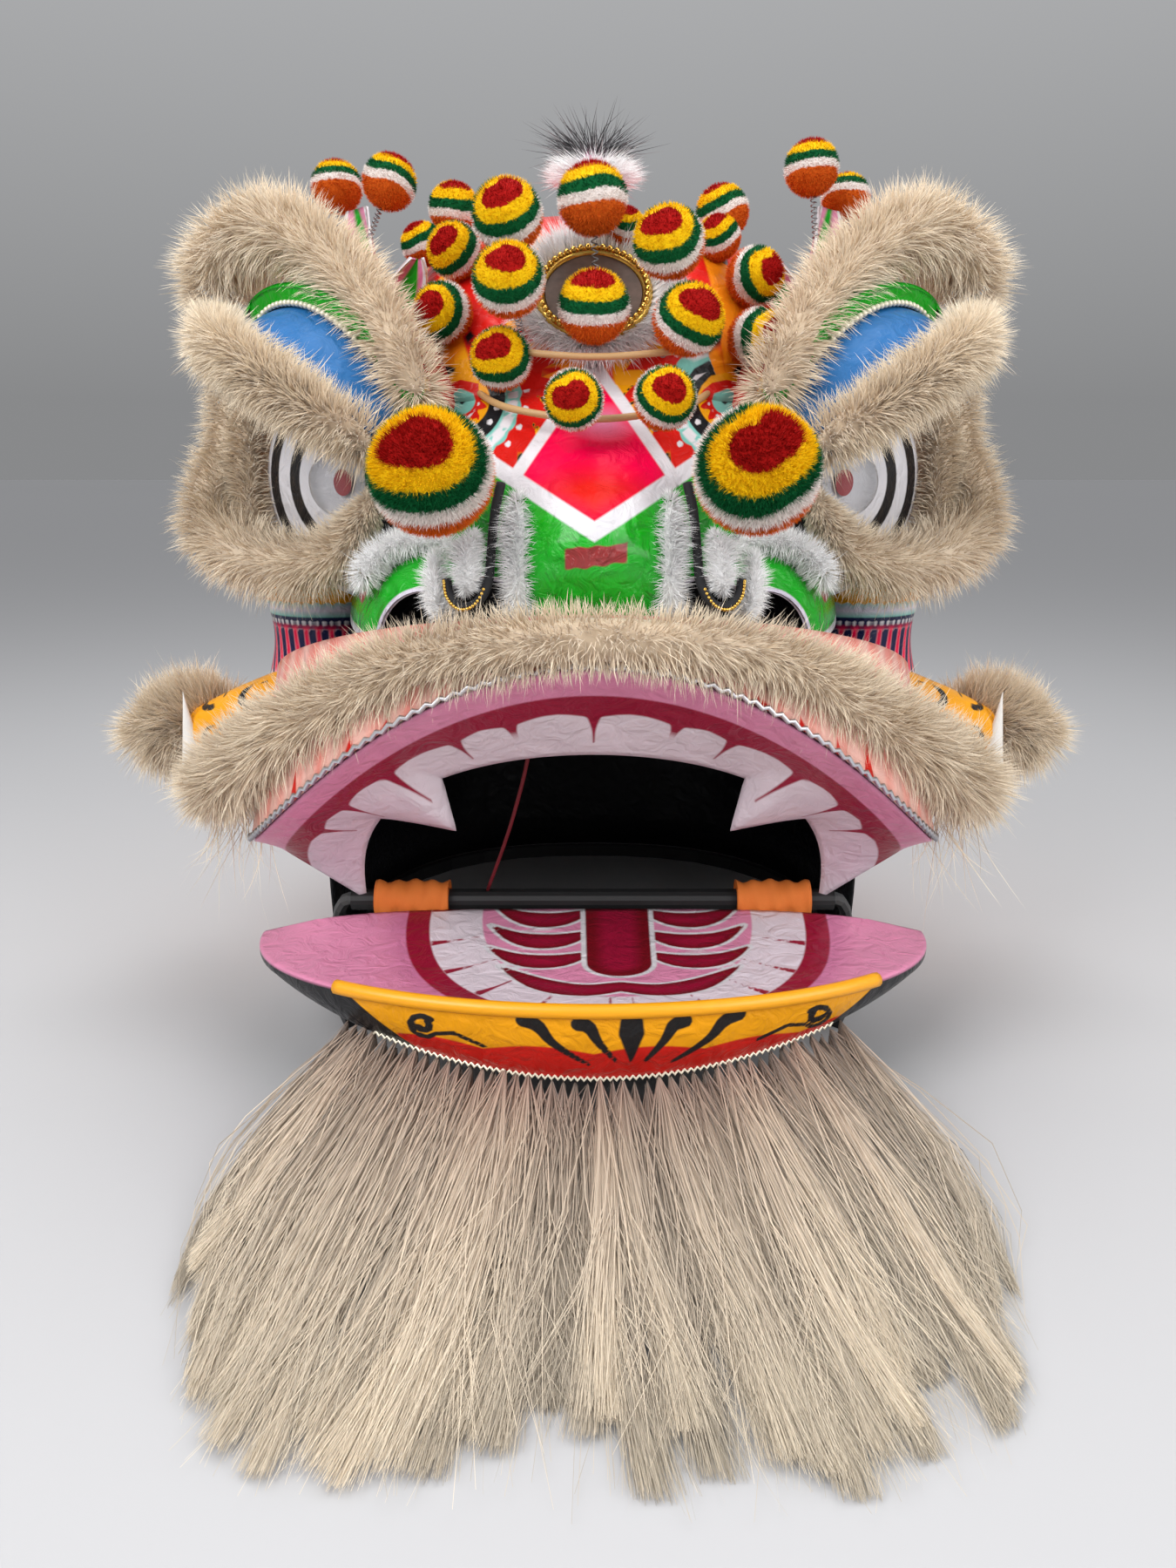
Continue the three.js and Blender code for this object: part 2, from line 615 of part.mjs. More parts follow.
// The plate runs from its back edge to the rim, then folds down into the skirt
function jawPoint(u, v) {
  const a = mix(-90, 90, u) * TURN;
  const back = vec(JAW.backHalf * Math.sin(a), JAW.backY - 22 * Math.sin(a) ** 4, 100);
  if (v > JAW.fold) {
    const down = (v - JAW.fold) / (1 - JAW.fold);
    return jawRim(a).lerp(skirtFoot(a), down).add(vec(0, -5 * Math.sin(Math.PI * down) * Math.cos(a), 0));
  }
  const out = v / JAW.fold;
  return back.lerp(jawRim(a), out).add(vec(0, 0, -JAW.dish * Math.sin(Math.PI * out) * Math.cos(a)));
}

function sleeve() {
  const ring = new THREE.Shape();
  ring.absarc(0, 0, SLEEVE.outer, 0, 2 * Math.PI);
  const hole = new THREE.Path();
  hole.absarc(0, 0, SLEEVE.inner, 0, 2 * Math.PI);
  ring.holes.push(hole);
  const settings = { depth: SLEEVE.to - SLEEVE.from, bevelEnabled: false, curveSegments: 6 };
  const geometry = new THREE.ExtrudeGeometry(ring, settings);
  return meshOf(geometry.rotateY(Math.PI / 2).translate(SLEEVE.from, BAR.y, BAR.z));
}

function jaw() {
  return [thicken(surface(jawPoint, 20, 5), PAPER), sleeve(), mirrored(sleeve())];
}

// Beard: a fan of locks, thick along each lock and thin between, with pointed ends
function beard() {
  const across = BEARD.locks * 2;
  const down = 5;
  const points = [];
  const faces = [];
  const spot = (u, v, side) => {
    const a = mix(-BEARD.spread, BEARD.spread, u) * TURN;
    const lock = Math.abs(Math.sin(Math.PI * BEARD.locks * u));
    const reach = v * mix(0.9, 1, lock);
    const fan = mix(-1, 1, u);
    const end = vec(BEARD.endX * Math.sin(fan * 1.45), mix(BEARD.midY, BEARD.endY, fan ** 4), 0);
    const half = (mix(BEARD.thick, BEARD.tip, v) * mix(0.4, 1, lock)) / 2;
    const root = skirtFoot(a).add(vec(0, 1, -half - 1));
    const p = root.clone().lerp(end, reach);
    p.x += 26 * Math.sin(Math.PI * reach) * fan ** 3;
    p.z = Math.max(root.z * (1 - reach) ** 1.7, half + 0.4);
    return p.add(vec(0, 0, side * half * (v === 1 ? 0.35 : 1)));
  };
  for (const side of [1, -1]) {
    for (let j = 0; j <= down; j += 1) {
      for (let i = 0; i <= across; i += 1) {
        points.push(spot(i / across, j / down, side));
      }
    }
  }
  const row = across + 1;
  const under = row * (down + 1);
  for (let j = 0; j < down; j += 1) {
    for (let i = 0; i < across; i += 1) {
      const a = j * row + i;
      faces.push([a, a + 1, a + row], [a + 1, a + row + 1, a + row]);
      const b = a + under;
      faces.push([b, b + row, b + 1], [b + 1, b + row, b + row + 1]);
    }
  }
  const rim = [];
  for (let i = 0; i < across; i += 1) {
    const tip = down * row + i;
    rim.push([i, i + 1], [tip + 1, tip]);
  }
  for (let j = 0; j < down; j += 1) {
    const left = j * row;
    rim.push([left + across, left + row + across], [left + row, left]);
  }
  for (const [from, to] of rim) {
    faces.push([to, from, from + under], [to, from + under, to + under]);
  }
  return outward({ points, faces });
}

// Pompom on its spring, turned up from one profile
function pompom({ at, r, pole, stem = SPRING.length }) {
  const profile = [new THREE.Vector2(0, -r - stem), new THREE.Vector2(SPRING.radius, -r - stem)];
  const start = Math.asin(SPRING.radius / r);
  for (let i = 0; i <= 5; i += 1) {
    const a = mix(start, Math.PI, i / 5);
    profile.push(new THREE.Vector2(Math.max(0, r * Math.sin(a)), -r * Math.cos(a)));
  }
  profile[profile.length - 1].x = 0;
  return outward(aimed(new THREE.LatheGeometry(profile, 8), vec(...at), vec(...pole)));
}

// Pieces are set one after another; each is trimmed by a seam's width round those it meets
const head = new THREE.Group();
head.name = "lion_dance_head";
const cutters = new Map();

function largest(solid) {
  return solid.decompose().reduce((best, body) => (body.volume() > best.volume() ? body : best));
}

function set(name, look, meshes, meets = []) {
  const parts = [meshes].flat().map(outward);
  const fuse = (solids) => solids.reduce((whole, part) => whole.add(part));
  cutters.set(name, fuse(parts.map((part) => solidOf(inflate(part, SEAM)))));
  const whole = fuse(parts.map(solidOf));
  const trimmed = meets.reduce((body, other) => body.subtract(cutters.get(other)), whole);
  const piece = new THREE.Mesh(geometryOf(largest(trimmed)), new THREE.MeshStandardMaterial(LOOKS[look]));
  piece.name = name;
  head.add(piece);
}

function setPair(name, look, meshes, meets = []) {
  const own = (side) => meets.map((other) => other.replace("*", side));
  set(`${name}_right`, look, meshes, own("right"));
  set(`${name}_left`, look, [meshes].flat().map(mirrored), own("left"));
}

const leaf = foreheadLeaf();
const shell = [thicken(surface(skullPoint, 24, 7), PAPER), leaf, mirrored(leaf)];
// What the ear passes over as it folds back, seen from the ear
const aroundSkull = inflate(outward(shell[0]), SEAM);
const earWay = [0.5, 1].map((t) => turned(aroundSkull, EAR_ROOT, EAR_HINGE, -EAR.fold * t));
cutters.set("ear_way_right", solidOf(earWay[0]).add(solidOf(earWay[1])));
cutters.set("ear_way_left", solidOf(mirrored(earWay[0])).add(solidOf(mirrored(earWay[1]))));
cutters.set("lid_way_right", solidOf(lidSweep()));
cutters.set("lid_way_left", solidOf(outward(mirrored(lidSweep()))));
cutters.set("lid_fur_way_right", solidOf(outward(furSweep())));
cutters.set("lid_fur_way_left", solidOf(outward(mirrored(furSweep()))));

set("base_hoop", "bamboo", baseHoop());
set("jaw_bar", "black", jawBar(), ["base_hoop"]);
set("skull", "paper", shell, ["base_hoop", "lid_way_left", "lid_way_right"]);
set("snout", "nose", snout(), ["skull", "lid_way_left", "lid_way_right"]);
setPair("brow", "brow", brow(), ["skull", "snout", "lid_way_*"]);
const dish = thicken(surface(socketPoint, 16, 3), PAPER);
setPair("eye_socket", "stripe", dish, ["skull", "snout", "brow_*", "lid_way_*"]);
setPair("eyeball", "glass", eyeball(), ["eye_socket_*"]);
setPair("cheek", "cheek", thicken(surface(cheekPoint, 8, 3), PAPER), ["skull", "eye_socket_*"]);
set("muzzle", "cheek", thicken(surface(muzzlePoint, 20, 2), PAPER), ["snout", "cheek_left", "cheek_right"]);
const teeth = thicken(surface(teethPoint, 30, 2), PAPER);
set("jaw", "lip", jaw(), ["jaw_bar"]);
set("upper_teeth", "teeth", teeth, ["muzzle", "jaw_bar", "jaw", "snout"]);
setPair("lid", "satin", lid(LID.from, LID.to, LID.wall), []);
setPair("ear", "brow", thicken(surface(earPoint, 6, 6), EAR.wall), ["skull", "brow_*", "ear_way_*"]);
set("mirror", "mirror", mirror(), ["skull"]);
set("horn", "horn", furRoll(HORN, { steps: 4, sides: 9, lock: 0 }), ["skull"]);
set("hoop_upper", "bamboo", strip(HOOP_UPPER), ["skull", "mirror"]);
set("hoop_lower", "bamboo", strip(HOOP_LOWER), ["skull", "snout"]);
setPair("gill", "yellow", gill(), ["muzzle", "cheek_*", "skull"]);

const stands = ["skull", "snout", "mirror", "horn", "hoop_upper", "hoop_lower", "ear_left", "ear_right"];
const springy = [];
for (const ball of POMPOMS) {
  const brows = ["brow_left", "brow_right", "muzzle"];
  set(ball.name, "pompom", pompom(ball), [...stands, ...brows, ...springy]);
  springy.push(ball.name);
}

const face = ["skull", "snout", "muzzle", "upper_teeth", ...springy];
const lipRows = [...LIP_FUR.slice(1).reverse().map((p) => ({ ...p, x: -p.x })), ...LIP_FUR];
const nose = ["snout", "muzzle", "upper_teeth", "pompom_nose_left", "pompom_nose_right"];
const lipMeets = [...nose, "cheek_left", "cheek_right", "gill_left", "gill_right"];
set("lip_fur", "fur", furRoll(lipRows, { steps: 20, sides: 7, lock: 0.07 }), lipMeets);
const eyeParts = ["brow_*", "eye_socket_*", "eyeball_*", "cheek_*", "ear_*"];
setPair("lid_fur", "fur", furRoll(lidFurRows(), { steps: 8, sides: 6, lock: 0.06 }), ["lid_*", ...springy]);
const lidWays = ["lid_way_*", "lid_fur_way_*"];
const rim = furRoll(RIM_FUR, { steps: 12, sides: 7, lock: 0.07 });
setPair("rim_fur", "fur", rim, [...face, ...eyeParts, ...lidWays, "lip_fur"]);
const ridge = furRoll(BROW_FUR, { steps: 9, sides: 7, lock: 0.07 });
const strips = ["hoop_upper", "hoop_lower"];
setPair("brow_fur", "fur", ridge, [...face, ...eyeParts, ...lidWays, "rim_fur_*", ...strips]);
const tuft = furRoll(GILL_FUR, { steps: 5, sides: 9, lock: 0.08 });
setPair("gill_fur", "fur", tuft, ["gill_*", "cheek_*", "muzzle", "skull", "lip_fur", "rim_fur_*"]);

set("beard", "beard", beard(), ["jaw"]);
const cord = rod(curveOf(CORD), CORD_RADIUS, 10, 6);
set("mouth_cord", "cord", cord, ["jaw_bar", "snout", "upper_teeth", "muzzle"]);

export default head;
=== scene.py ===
# %% [markdown]
# # A lion dance head
# The real head is painted paper over a bamboo frame, edged with fur, with a long
# beard of hair and pompoms that shake on springs. It could be sculpted by hand
# over the CAD solids. Here every shell is rebuilt finer on the formula of its
# solid instead, then painted and given its fur, so that the looks sit exactly
# where the CAD pieces do. Sizes are in millimetres and become metres as the
# meshes are made.

# %% Load the frame
import math

import bpy
import numpy as np
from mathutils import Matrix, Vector


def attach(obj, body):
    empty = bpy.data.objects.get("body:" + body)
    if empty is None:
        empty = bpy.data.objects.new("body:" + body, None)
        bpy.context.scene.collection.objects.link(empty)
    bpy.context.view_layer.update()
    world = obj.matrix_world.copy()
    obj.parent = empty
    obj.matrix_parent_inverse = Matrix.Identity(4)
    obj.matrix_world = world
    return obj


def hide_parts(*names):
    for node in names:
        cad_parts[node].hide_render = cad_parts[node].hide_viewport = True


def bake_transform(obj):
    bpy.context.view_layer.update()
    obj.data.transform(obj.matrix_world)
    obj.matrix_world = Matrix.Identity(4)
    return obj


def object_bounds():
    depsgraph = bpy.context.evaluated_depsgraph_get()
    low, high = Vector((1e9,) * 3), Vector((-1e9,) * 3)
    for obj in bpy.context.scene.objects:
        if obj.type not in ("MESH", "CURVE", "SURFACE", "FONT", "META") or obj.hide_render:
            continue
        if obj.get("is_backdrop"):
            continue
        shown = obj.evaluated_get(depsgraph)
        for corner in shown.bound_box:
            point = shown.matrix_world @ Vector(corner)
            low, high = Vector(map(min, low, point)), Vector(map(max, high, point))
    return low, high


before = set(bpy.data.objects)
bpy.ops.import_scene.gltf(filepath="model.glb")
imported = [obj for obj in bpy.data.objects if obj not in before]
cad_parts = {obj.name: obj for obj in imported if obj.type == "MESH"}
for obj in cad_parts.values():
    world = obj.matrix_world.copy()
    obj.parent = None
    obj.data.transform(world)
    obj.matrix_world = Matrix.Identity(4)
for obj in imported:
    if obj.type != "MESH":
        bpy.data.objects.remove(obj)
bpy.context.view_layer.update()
MM = 0.001
rng = np.random.default_rng(8)
print("frame nodes:", len(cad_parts))

# %% [markdown]
# ## Camera and studio
# The photo was taken close, with a short lens, a little above the nose and
# tipped down. A camera could be fitted by eye in the viewport. Typing in its
# place, tip and lens lets every picture be made again from the same spot. The
# studio is a plain pale floor with a large soft light on each side and one
# above, so that fur and paint both read.

# %% Camera
CAMERA = {"x": -4, "y": -915, "z": 460, "tip": 15, "lens": 27.04}
camera_data = bpy.data.cameras.new("camera")
camera_data.lens = CAMERA["lens"]
camera_data.sensor_width = 36
camera = bpy.data.objects.new("camera", camera_data)
camera.location = [CAMERA[k] * MM for k in "xyz"]
camera.rotation_euler = (math.radians(90 - CAMERA["tip"]), 0, 0)
bpy.context.collection.objects.link(camera)
bpy.context.scene.camera = camera
bpy.context.scene.view_settings.view_transform = "Standard"
print("camera at m:", tuple(round(v, 3) for v in camera.location))

# %% Floor
def studio_material(name, colour, rough):
    material = bpy.data.materials.new(name)
    material.use_nodes = True
    nodes, links = material.node_tree.nodes, material.node_tree.links
    shader = nodes["Principled BSDF"]
    shader.inputs["Roughness"].default_value = rough
    noise = nodes.new("ShaderNodeTexNoise")
    noise.inputs["Scale"].default_value = 3
    ramp = nodes.new("ShaderNodeValToRGB")
    for stop, shade in zip(ramp.color_ramp.elements, (0.96, 1.0)):
        stop.color = (*(c * shade for c in colour), 1)
    links.new(noise.outputs["Fac"], ramp.inputs["Fac"])
    links.new(ramp.outputs["Color"], shader.inputs["Base Color"])
    return material


bpy.ops.mesh.primitive_plane_add(size=60, location=(0, 20, 0))
floor = bpy.context.object
floor.name = "floor"
floor.data.materials.append(studio_material("floor", (0.47, 0.47, 0.48), 0.8))
floor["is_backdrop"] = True
print("floor size m:", tuple(round(v) for v in floor.dimensions))

# %% World
SKY = {"from": 0.05, "to": 0.6, "low": 0.27, "high": 0.62}  # brighter with the height above the horizon
world = bpy.data.worlds.new("studio")
bpy.context.scene.world = world
world.use_nodes = True
sky_nodes, sky_links = world.node_tree.nodes, world.node_tree.links
sky = sky_nodes["Background"]
sky.inputs["Color"].default_value = (0.92, 0.93, 0.95, 1)
sky_way = sky_nodes.new("ShaderNodeTexCoord")
sky_part = sky_nodes.new("ShaderNodeSeparateXYZ")
sky_rise = sky_nodes.new("ShaderNodeMapRange")
sky_rise.inputs["From Min"].default_value = SKY["from"]
sky_rise.inputs["From Max"].default_value = SKY["to"]
sky_rise.inputs["To Min"].default_value = SKY["low"]
sky_rise.inputs["To Max"].default_value = SKY["high"]
sky_links.new(sky_way.outputs["Generated"], sky_part.inputs["Vector"])
sky_links.new(sky_part.outputs["Z"], sky_rise.inputs["Value"])
sky_links.new(sky_rise.outputs["Result"], sky.inputs["Strength"])
print("sky strength:", SKY["low"], "to", SKY["high"])

# %% Lights
LIGHTS = [
    {"name": "key", "at": (-1.3, -1.5, 1.7), "size": 1.4, "watts": 42},
    {"name": "fill", "at": (1.5, -1.3, 1.2), "size": 1.6, "watts": 28},
    {"name": "top", "at": (0.0, 0.2, 2.2), "size": 1.6, "watts": 30},
]
for row in LIGHTS:
    light = bpy.data.lights.new(row["name"], "AREA")
    light.size = row["size"]
    light.energy = row["watts"]
    lamp = bpy.data.objects.new(row["name"], light)
    lamp.location = row["at"]
    aim = Vector((0, -0.05, 0.33)) - lamp.location
    lamp.rotation_euler = aim.to_track_quat("-Z", "Y").to_euler()
    bpy.context.collection.objects.link(lamp)
    lamp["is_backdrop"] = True
print("lights:", len(LIGHTS))

# %% [markdown]
# ## Meshes from arrays
# A head like this is thousands of hairs and finely painted sheets. Mesh
# operators and modifiers would build them one step at a time. Here each piece is
# worked out as whole arrays of points and handed to Blender at once, which is
# quicker and gives the same mesh every time. Paint is kept as distances: a
# number at each point says how far inside a painted shape it lies, and the
# material cuts it off at zero. An image texture would need unwrapping, and a
# colour at each point would blur. A distance keeps the edges crisp between the
# points.

# %% Array tools
def mix(a, b, t):
    return a + (b - a) * t


def smooth(a, b, x):
    t = np.clip((x - a) / (b - a), 0, 1)
    return t * t * (3 - 2 * t)


def unit(v):
    return v / np.maximum(np.linalg.norm(v, axis=-1, keepdims=True), 1e-9)


def stack(*columns):
    return np.stack(np.broadcast_arrays(*columns), axis=-1).astype(float)


def spline(rows, t):
    """A smooth line through evenly spaced rows, for t from 0 to 1."""
    rows = np.asarray(rows, float)
    last = len(rows) - 1
    place = np.clip(np.asarray(t, float), 0, 1) * last
    i = np.minimum(place.astype(int), last - 1)
    w = (place - i)[..., None]
    a, b = rows[np.maximum(i - 1, 0)], rows[i]
    c, d = rows[i + 1], rows[np.minimum(i + 2, last)]
    m, n = (c - a) / 2, (d - b) / 2
    return (2 * b - 2 * c + m + n) * w**3 + (3 * c - 3 * b - 2 * m - n) * w**2 + m * w + b


def ripple(p, size, seed=0):
    """A smooth wander of about one unit that changes over a given size."""
    turns = np.random.default_rng(seed).normal(size=(3, 3, 3))
    phase = np.random.default_rng(seed + 1).uniform(0, 6.3, (3, 3))
    waves = np.einsum("nk,ajk->naj", p / size, turns) + phase
    return np.sin(waves).sum(axis=2) / 1.7


# %% Meshes from points and faces
def add_mesh(name, points, faces, marks, materials, body, slot, replaced=(), picks=None, flat=False):
    """points in millimetres; marks are numbers kept at each point for the paint."""
    mesh = bpy.data.meshes.new(name)
    faces = np.asarray(faces, np.int32)
    mesh.vertices.add(len(points))
    mesh.vertices.foreach_set("co", (np.asarray(points) * MM).astype(np.float32).ravel())
    mesh.loops.add(faces.size)
    mesh.loops.foreach_set("vertex_index", faces.ravel())
    mesh.polygons.add(len(faces))
    mesh.polygons.foreach_set("loop_start", np.arange(0, faces.size, faces.shape[1], dtype=np.int32))
    mesh.update(calc_edges=True)
    mesh.polygons.foreach_set("use_smooth", np.full(len(faces), not flat))
    for mark, values in marks.items():
        layer = mesh.attributes.new(mark, "FLOAT", "POINT")
        layer.data.foreach_set("value", np.asarray(values, np.float32))
    for material in materials:
        mesh.materials.append(material)
    if picks is not None:
        mesh.polygons.foreach_set("material_index", np.asarray(picks, np.int32))
    piece = bpy.data.objects.new(name, mesh)
    bpy.context.collection.objects.link(piece)
    if body:
        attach(piece, body)
    if replaced:
        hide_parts(*replaced)
    print(name, "faces:", len(faces))
    return piece


# %% Thin sheets
def grid_faces(across, along, start=0):
    i, j = np.meshgrid(np.arange(across), np.arange(along))
    a = (j * (across + 1) + i).ravel() + start
    return np.stack([a, a + 1, a + across + 2, a + across + 1], axis=1)


def face_normals(points, faces):
    normals = np.zeros_like(points)
    one, two = points[faces[:, 2]] - points[faces[:, 0]], points[faces[:, 3]] - points[faces[:, 1]]
    n = unit(np.cross(one, two))
    for k in range(4):
        np.add.at(normals, faces[:, k], n)
    return unit(normals)


def sheet_arrays(point_at, across, along, wall, out):
    """A thin wall on a surface: points, faces, and where each point lies on it. out is a
    direction, or a centre to face away from, that says which side is the painted one."""
    u, v = np.meshgrid(np.linspace(0, 1, across + 1), np.linspace(0, 1, along + 1))
    u, v = u.ravel(), v.ravel()
    p = point_at(u, v)
    faces = grid_faces(across, along)
    n = face_normals(p, faces)
    way = np.asarray(out["way"], float) if "way" in out else p - np.asarray(out["from"], float)
    if (n * way).sum() < 0:
        n, faces = -n, faces[:, ::-1]
    count, row = len(p), across + 1
    edge = np.concatenate([
        np.arange(row), np.arange(1, along + 1) * row + across,
        along * row + np.arange(across - 1, -1, -1), np.arange(along - 1, 0, -1) * row])
    after = np.roll(edge, -1)
    rim = np.stack([edge, after, after + count, edge + count], axis=1)
    points = np.concatenate([p + n * wall / 2, p - n * wall / 2])
    both = {"u": np.tile(u, 2), "v": np.tile(v, 2), "inside": np.repeat([0.0, 1.0], count)}
    return points, np.concatenate([faces, faces[:, ::-1] + count, rim]), both, np.tile(p, (2, 1))


# %% Mirrored pairs
def on_side(points, faces, sign):
    """The arrays as they are for the right side, mirrored for the left."""
    points, faces = np.asarray(points, float), np.asarray(faces)
    return (points, faces) if sign > 0 else (points * (-1, 1, 1), faces[:, ::-1])


SIDES = (("right", 1), ("left", -1))


def add_pair(name, points, faces, marks, materials, body, slot, replaced=()):
    """The piece on the right side and its mirror on the left; {side} in a name is filled in."""
    for side, sign in SIDES:
        pts, fcs = on_side(points, faces, sign)
        nodes = [node.format(side=side) for node in replaced]
        add_mesh(name.format(side=side), pts, fcs, marks, materials, body.format(side=side), slot, nodes)


# %% Painted shapes as distances, in millimetres, more than zero inside
def band(value, low, high):
    return np.minimum(value - low, high - value)


def stroke(x, y, line, widths):
    """A brush stroke along a line, with its half width given at each of the line's points."""
    line = np.asarray(line, float)
    best = np.full(np.shape(x), -1e3)
    for (ax, ay), (bx, by), wa, wb in zip(line[:-1], line[1:], widths[:-1], widths[1:]):
        dx, dy = bx - ax, by - ay
        t = np.clip(((x - ax) * dx + (y - ay) * dy) / max(dx * dx + dy * dy, 1e-9), 0, 1)
        best = np.maximum(best, mix(wa, wb, t) - np.hypot(x - ax - t * dx, y - ay - t * dy))
    return best


def arc_line(cx, cy, r, start, end, steps=10):
    a = np.radians(np.linspace(start, end, steps))
    return np.stack([cx + r * np.cos(a), cy + r * np.sin(a)], axis=1)


def union(*shapes):
    return np.maximum.reduce(shapes)


# %% [markdown]
# ## Paint, fur and wool
# Lacquered paper shows brush marks and fine creases under its gloss, so the
# paint gets a little noise in its colour and a crinkled bump. Fur is painted
# lighter at its tips and darker in its depth, as painted shade. Each finish could
# be a material made by hand in the shader editor. One function for each kind of
# finish was chosen, because dozens of materials then share the same few nodes.

# %% Inks
INK = {
    "white": (0.72, 0.70, 0.73), "black": (0.012, 0.012, 0.014), "red": (0.62, 0.012, 0.008),
    "brick": (0.30, 0.03, 0.03), "crimson": (0.30, 0.008, 0.035), "dark_red": (0.17, 0.006, 0.012),
    "pink": (0.72, 0.26, 0.42), "rose": (0.62, 0.20, 0.36), "magenta": (0.84, 0.001, 0.06),
    "orange": (0.88, 0.26, 0.008), "yellow": (0.88, 0.37, 0.006), "green": (0.004, 0.38, 0.010),
    "teal": (0.20, 0.55, 0.48), "navy": (0.01, 0.012, 0.06), "lavender": (0.74, 0.68, 0.80),
    "tooth": (0.76, 0.67, 0.73), "satin": (0.018, 0.14, 0.38), "gold": (0.70, 0.45, 0.10),
}
print("inks:", len(INK))

# %% Material and colour nodes
def new_material(name):
    material = bpy.data.materials.new(name)
    material.use_nodes = True
    tree = material.node_tree
    return material, tree.nodes, tree.links, tree.nodes["Principled BSDF"]


def mix_colour(nodes, links, fac, below, above):
    node = nodes.new("ShaderNodeMix")
    node.data_type = "RGBA"
    links.new(fac, node.inputs["Factor"])
    for socket, value in ((node.inputs["A"], below), (node.inputs["B"], above)):
        if isinstance(value, tuple):
            socket.default_value = (*value, 1)
        else:
            links.new(value, socket)
    return node.outputs["Result"]


# %% Marks and shading
def read_mark(nodes, mark):
    attribute = nodes.new("ShaderNodeAttribute")
    attribute.attribute_name = mark
    return attribute.outputs["Fac"]


def stretch(nodes, links, value, low, high):
    """A value of 0 to 1 turned into one of low to high."""
    ranged = nodes.new("ShaderNodeMapRange")
    ranged.inputs["To Min"].default_value = low
    ranged.inputs["To Max"].default_value = high
    links.new(value, ranged.inputs["Value"])
    return ranged.outputs["Result"]


def shaded(nodes, links, colour, value, amount):
    """A colour made darker or lighter by a value, by a given amount of 0 to 1."""
    tone = nodes.new("ShaderNodeMix")
    tone.data_type = "RGBA"
    tone.blend_type = "MULTIPLY"
    tone.inputs["Factor"].default_value = amount
    links.new(colour, tone.inputs["A"])
    links.new(value, tone.inputs["B"])
    return tone.outputs["Result"]


def cut_off(nodes, links, mark, soft):
    """1 inside the painted shape and 0 outside it, with an edge of the given softness."""
    ranged = nodes.new("ShaderNodeMapRange")
    ranged.inputs["From Min"].default_value = -soft
    ranged.inputs["From Max"].default_value = soft
    links.new(read_mark(nodes, mark), ranged.inputs["Value"])
    return ranged.outputs["Result"]


# %% Paint
def paint_material(name, base, layers, rough=0.3, crease=0.75, inside="black", gloss=0.25, film=0.0):
    """layers: (mark, ink, softness in mm), each laid over the ones before it; film adds wrinkled gloss."""
    material, nodes, links, shader = new_material(name)
    colour = INK[base]
    steps = [*layers, ("inside_ink", inside, 0.02)]
    for mark, ink, soft in steps:
        colour = mix_colour(nodes, links, cut_off(nodes, links, mark, soft), colour, INK[ink])
    place = nodes.new("ShaderNodeTexCoord")
    brush = nodes.new("ShaderNodeTexNoise")
    brush.inputs["Scale"].default_value = 38
    brush.inputs["Detail"].default_value = 5
    links.new(place.outputs["Object"], brush.inputs["Vector"])
    brushed = shaded(nodes, links, colour, stretch(nodes, links, brush.outputs["Fac"], 0.72, 1.18), 0.6)
    links.new(brushed, shader.inputs["Base Color"])
    folds = nodes.new("ShaderNodeTexNoise")
    folds.inputs["Scale"].default_value = 55
    folds.inputs["Detail"].default_value = 4
    folds.inputs["Distortion"].default_value = 1.2
    links.new(place.outputs["Object"], folds.inputs["Vector"])
    bump = nodes.new("ShaderNodeBump")
    bump.inputs["Strength"].default_value = crease
    bump.inputs["Distance"].default_value = 0.004 + 0.008 * film
    links.new(folds.outputs["Fac"], bump.inputs["Height"])
    links.new(bump.outputs["Normal"], shader.inputs["Normal"])
    shader.inputs["Roughness"].default_value = rough
    shader.inputs["Specular IOR Level"].default_value = gloss
    shader.inputs["Coat Weight"].default_value = 0.3 * gloss + 0.4 * film
    shader.inputs["Coat Roughness"].default_value = 0.12
    return material


# %% Fur and plain finishes
def fur_material(name, deep, tip, rough=0.65, sheen=0.6, spread=0.15):
    """Hair painted darker in its depth and at its roots as painted shade, with a little change from hair to
    hair.
    """
    material, nodes, links, shader = new_material(name)
    colour = mix_colour(nodes, links, read_mark(nodes, "along"), deep, tip)
    tint = stretch(nodes, links, read_mark(nodes, "tint"), 0.95 - spread, 0.95 + spread)
    links.new(shaded(nodes, links, colour, tint, 1), shader.inputs["Base Color"])
    shader.inputs["Roughness"].default_value = rough
    shader.inputs["Sheen Weight"].default_value = sheen
    return material


def plain_material(name, colour, rough, metal=0.0, scale=60, depth=0.2):
    """One colour with a fine grain, for wood, wire, cord and gilt."""
    material, nodes, links, shader = new_material(name)
    grain = nodes.new("ShaderNodeTexNoise")
    grain.inputs["Scale"].default_value = scale
    ramp = nodes.new("ShaderNodeValToRGB")
    for stop, shade in zip(ramp.color_ramp.elements, (1 - depth, 1 + depth)):
        stop.color = (*(min(1, c * shade) for c in colour), 1)
    links.new(grain.outputs["Fac"], ramp.inputs["Fac"])
    links.new(ramp.outputs["Color"], shader.inputs["Base Color"])
    shader.inputs["Roughness"].default_value = rough
    shader.inputs["Metallic"].default_value = metal
    return material
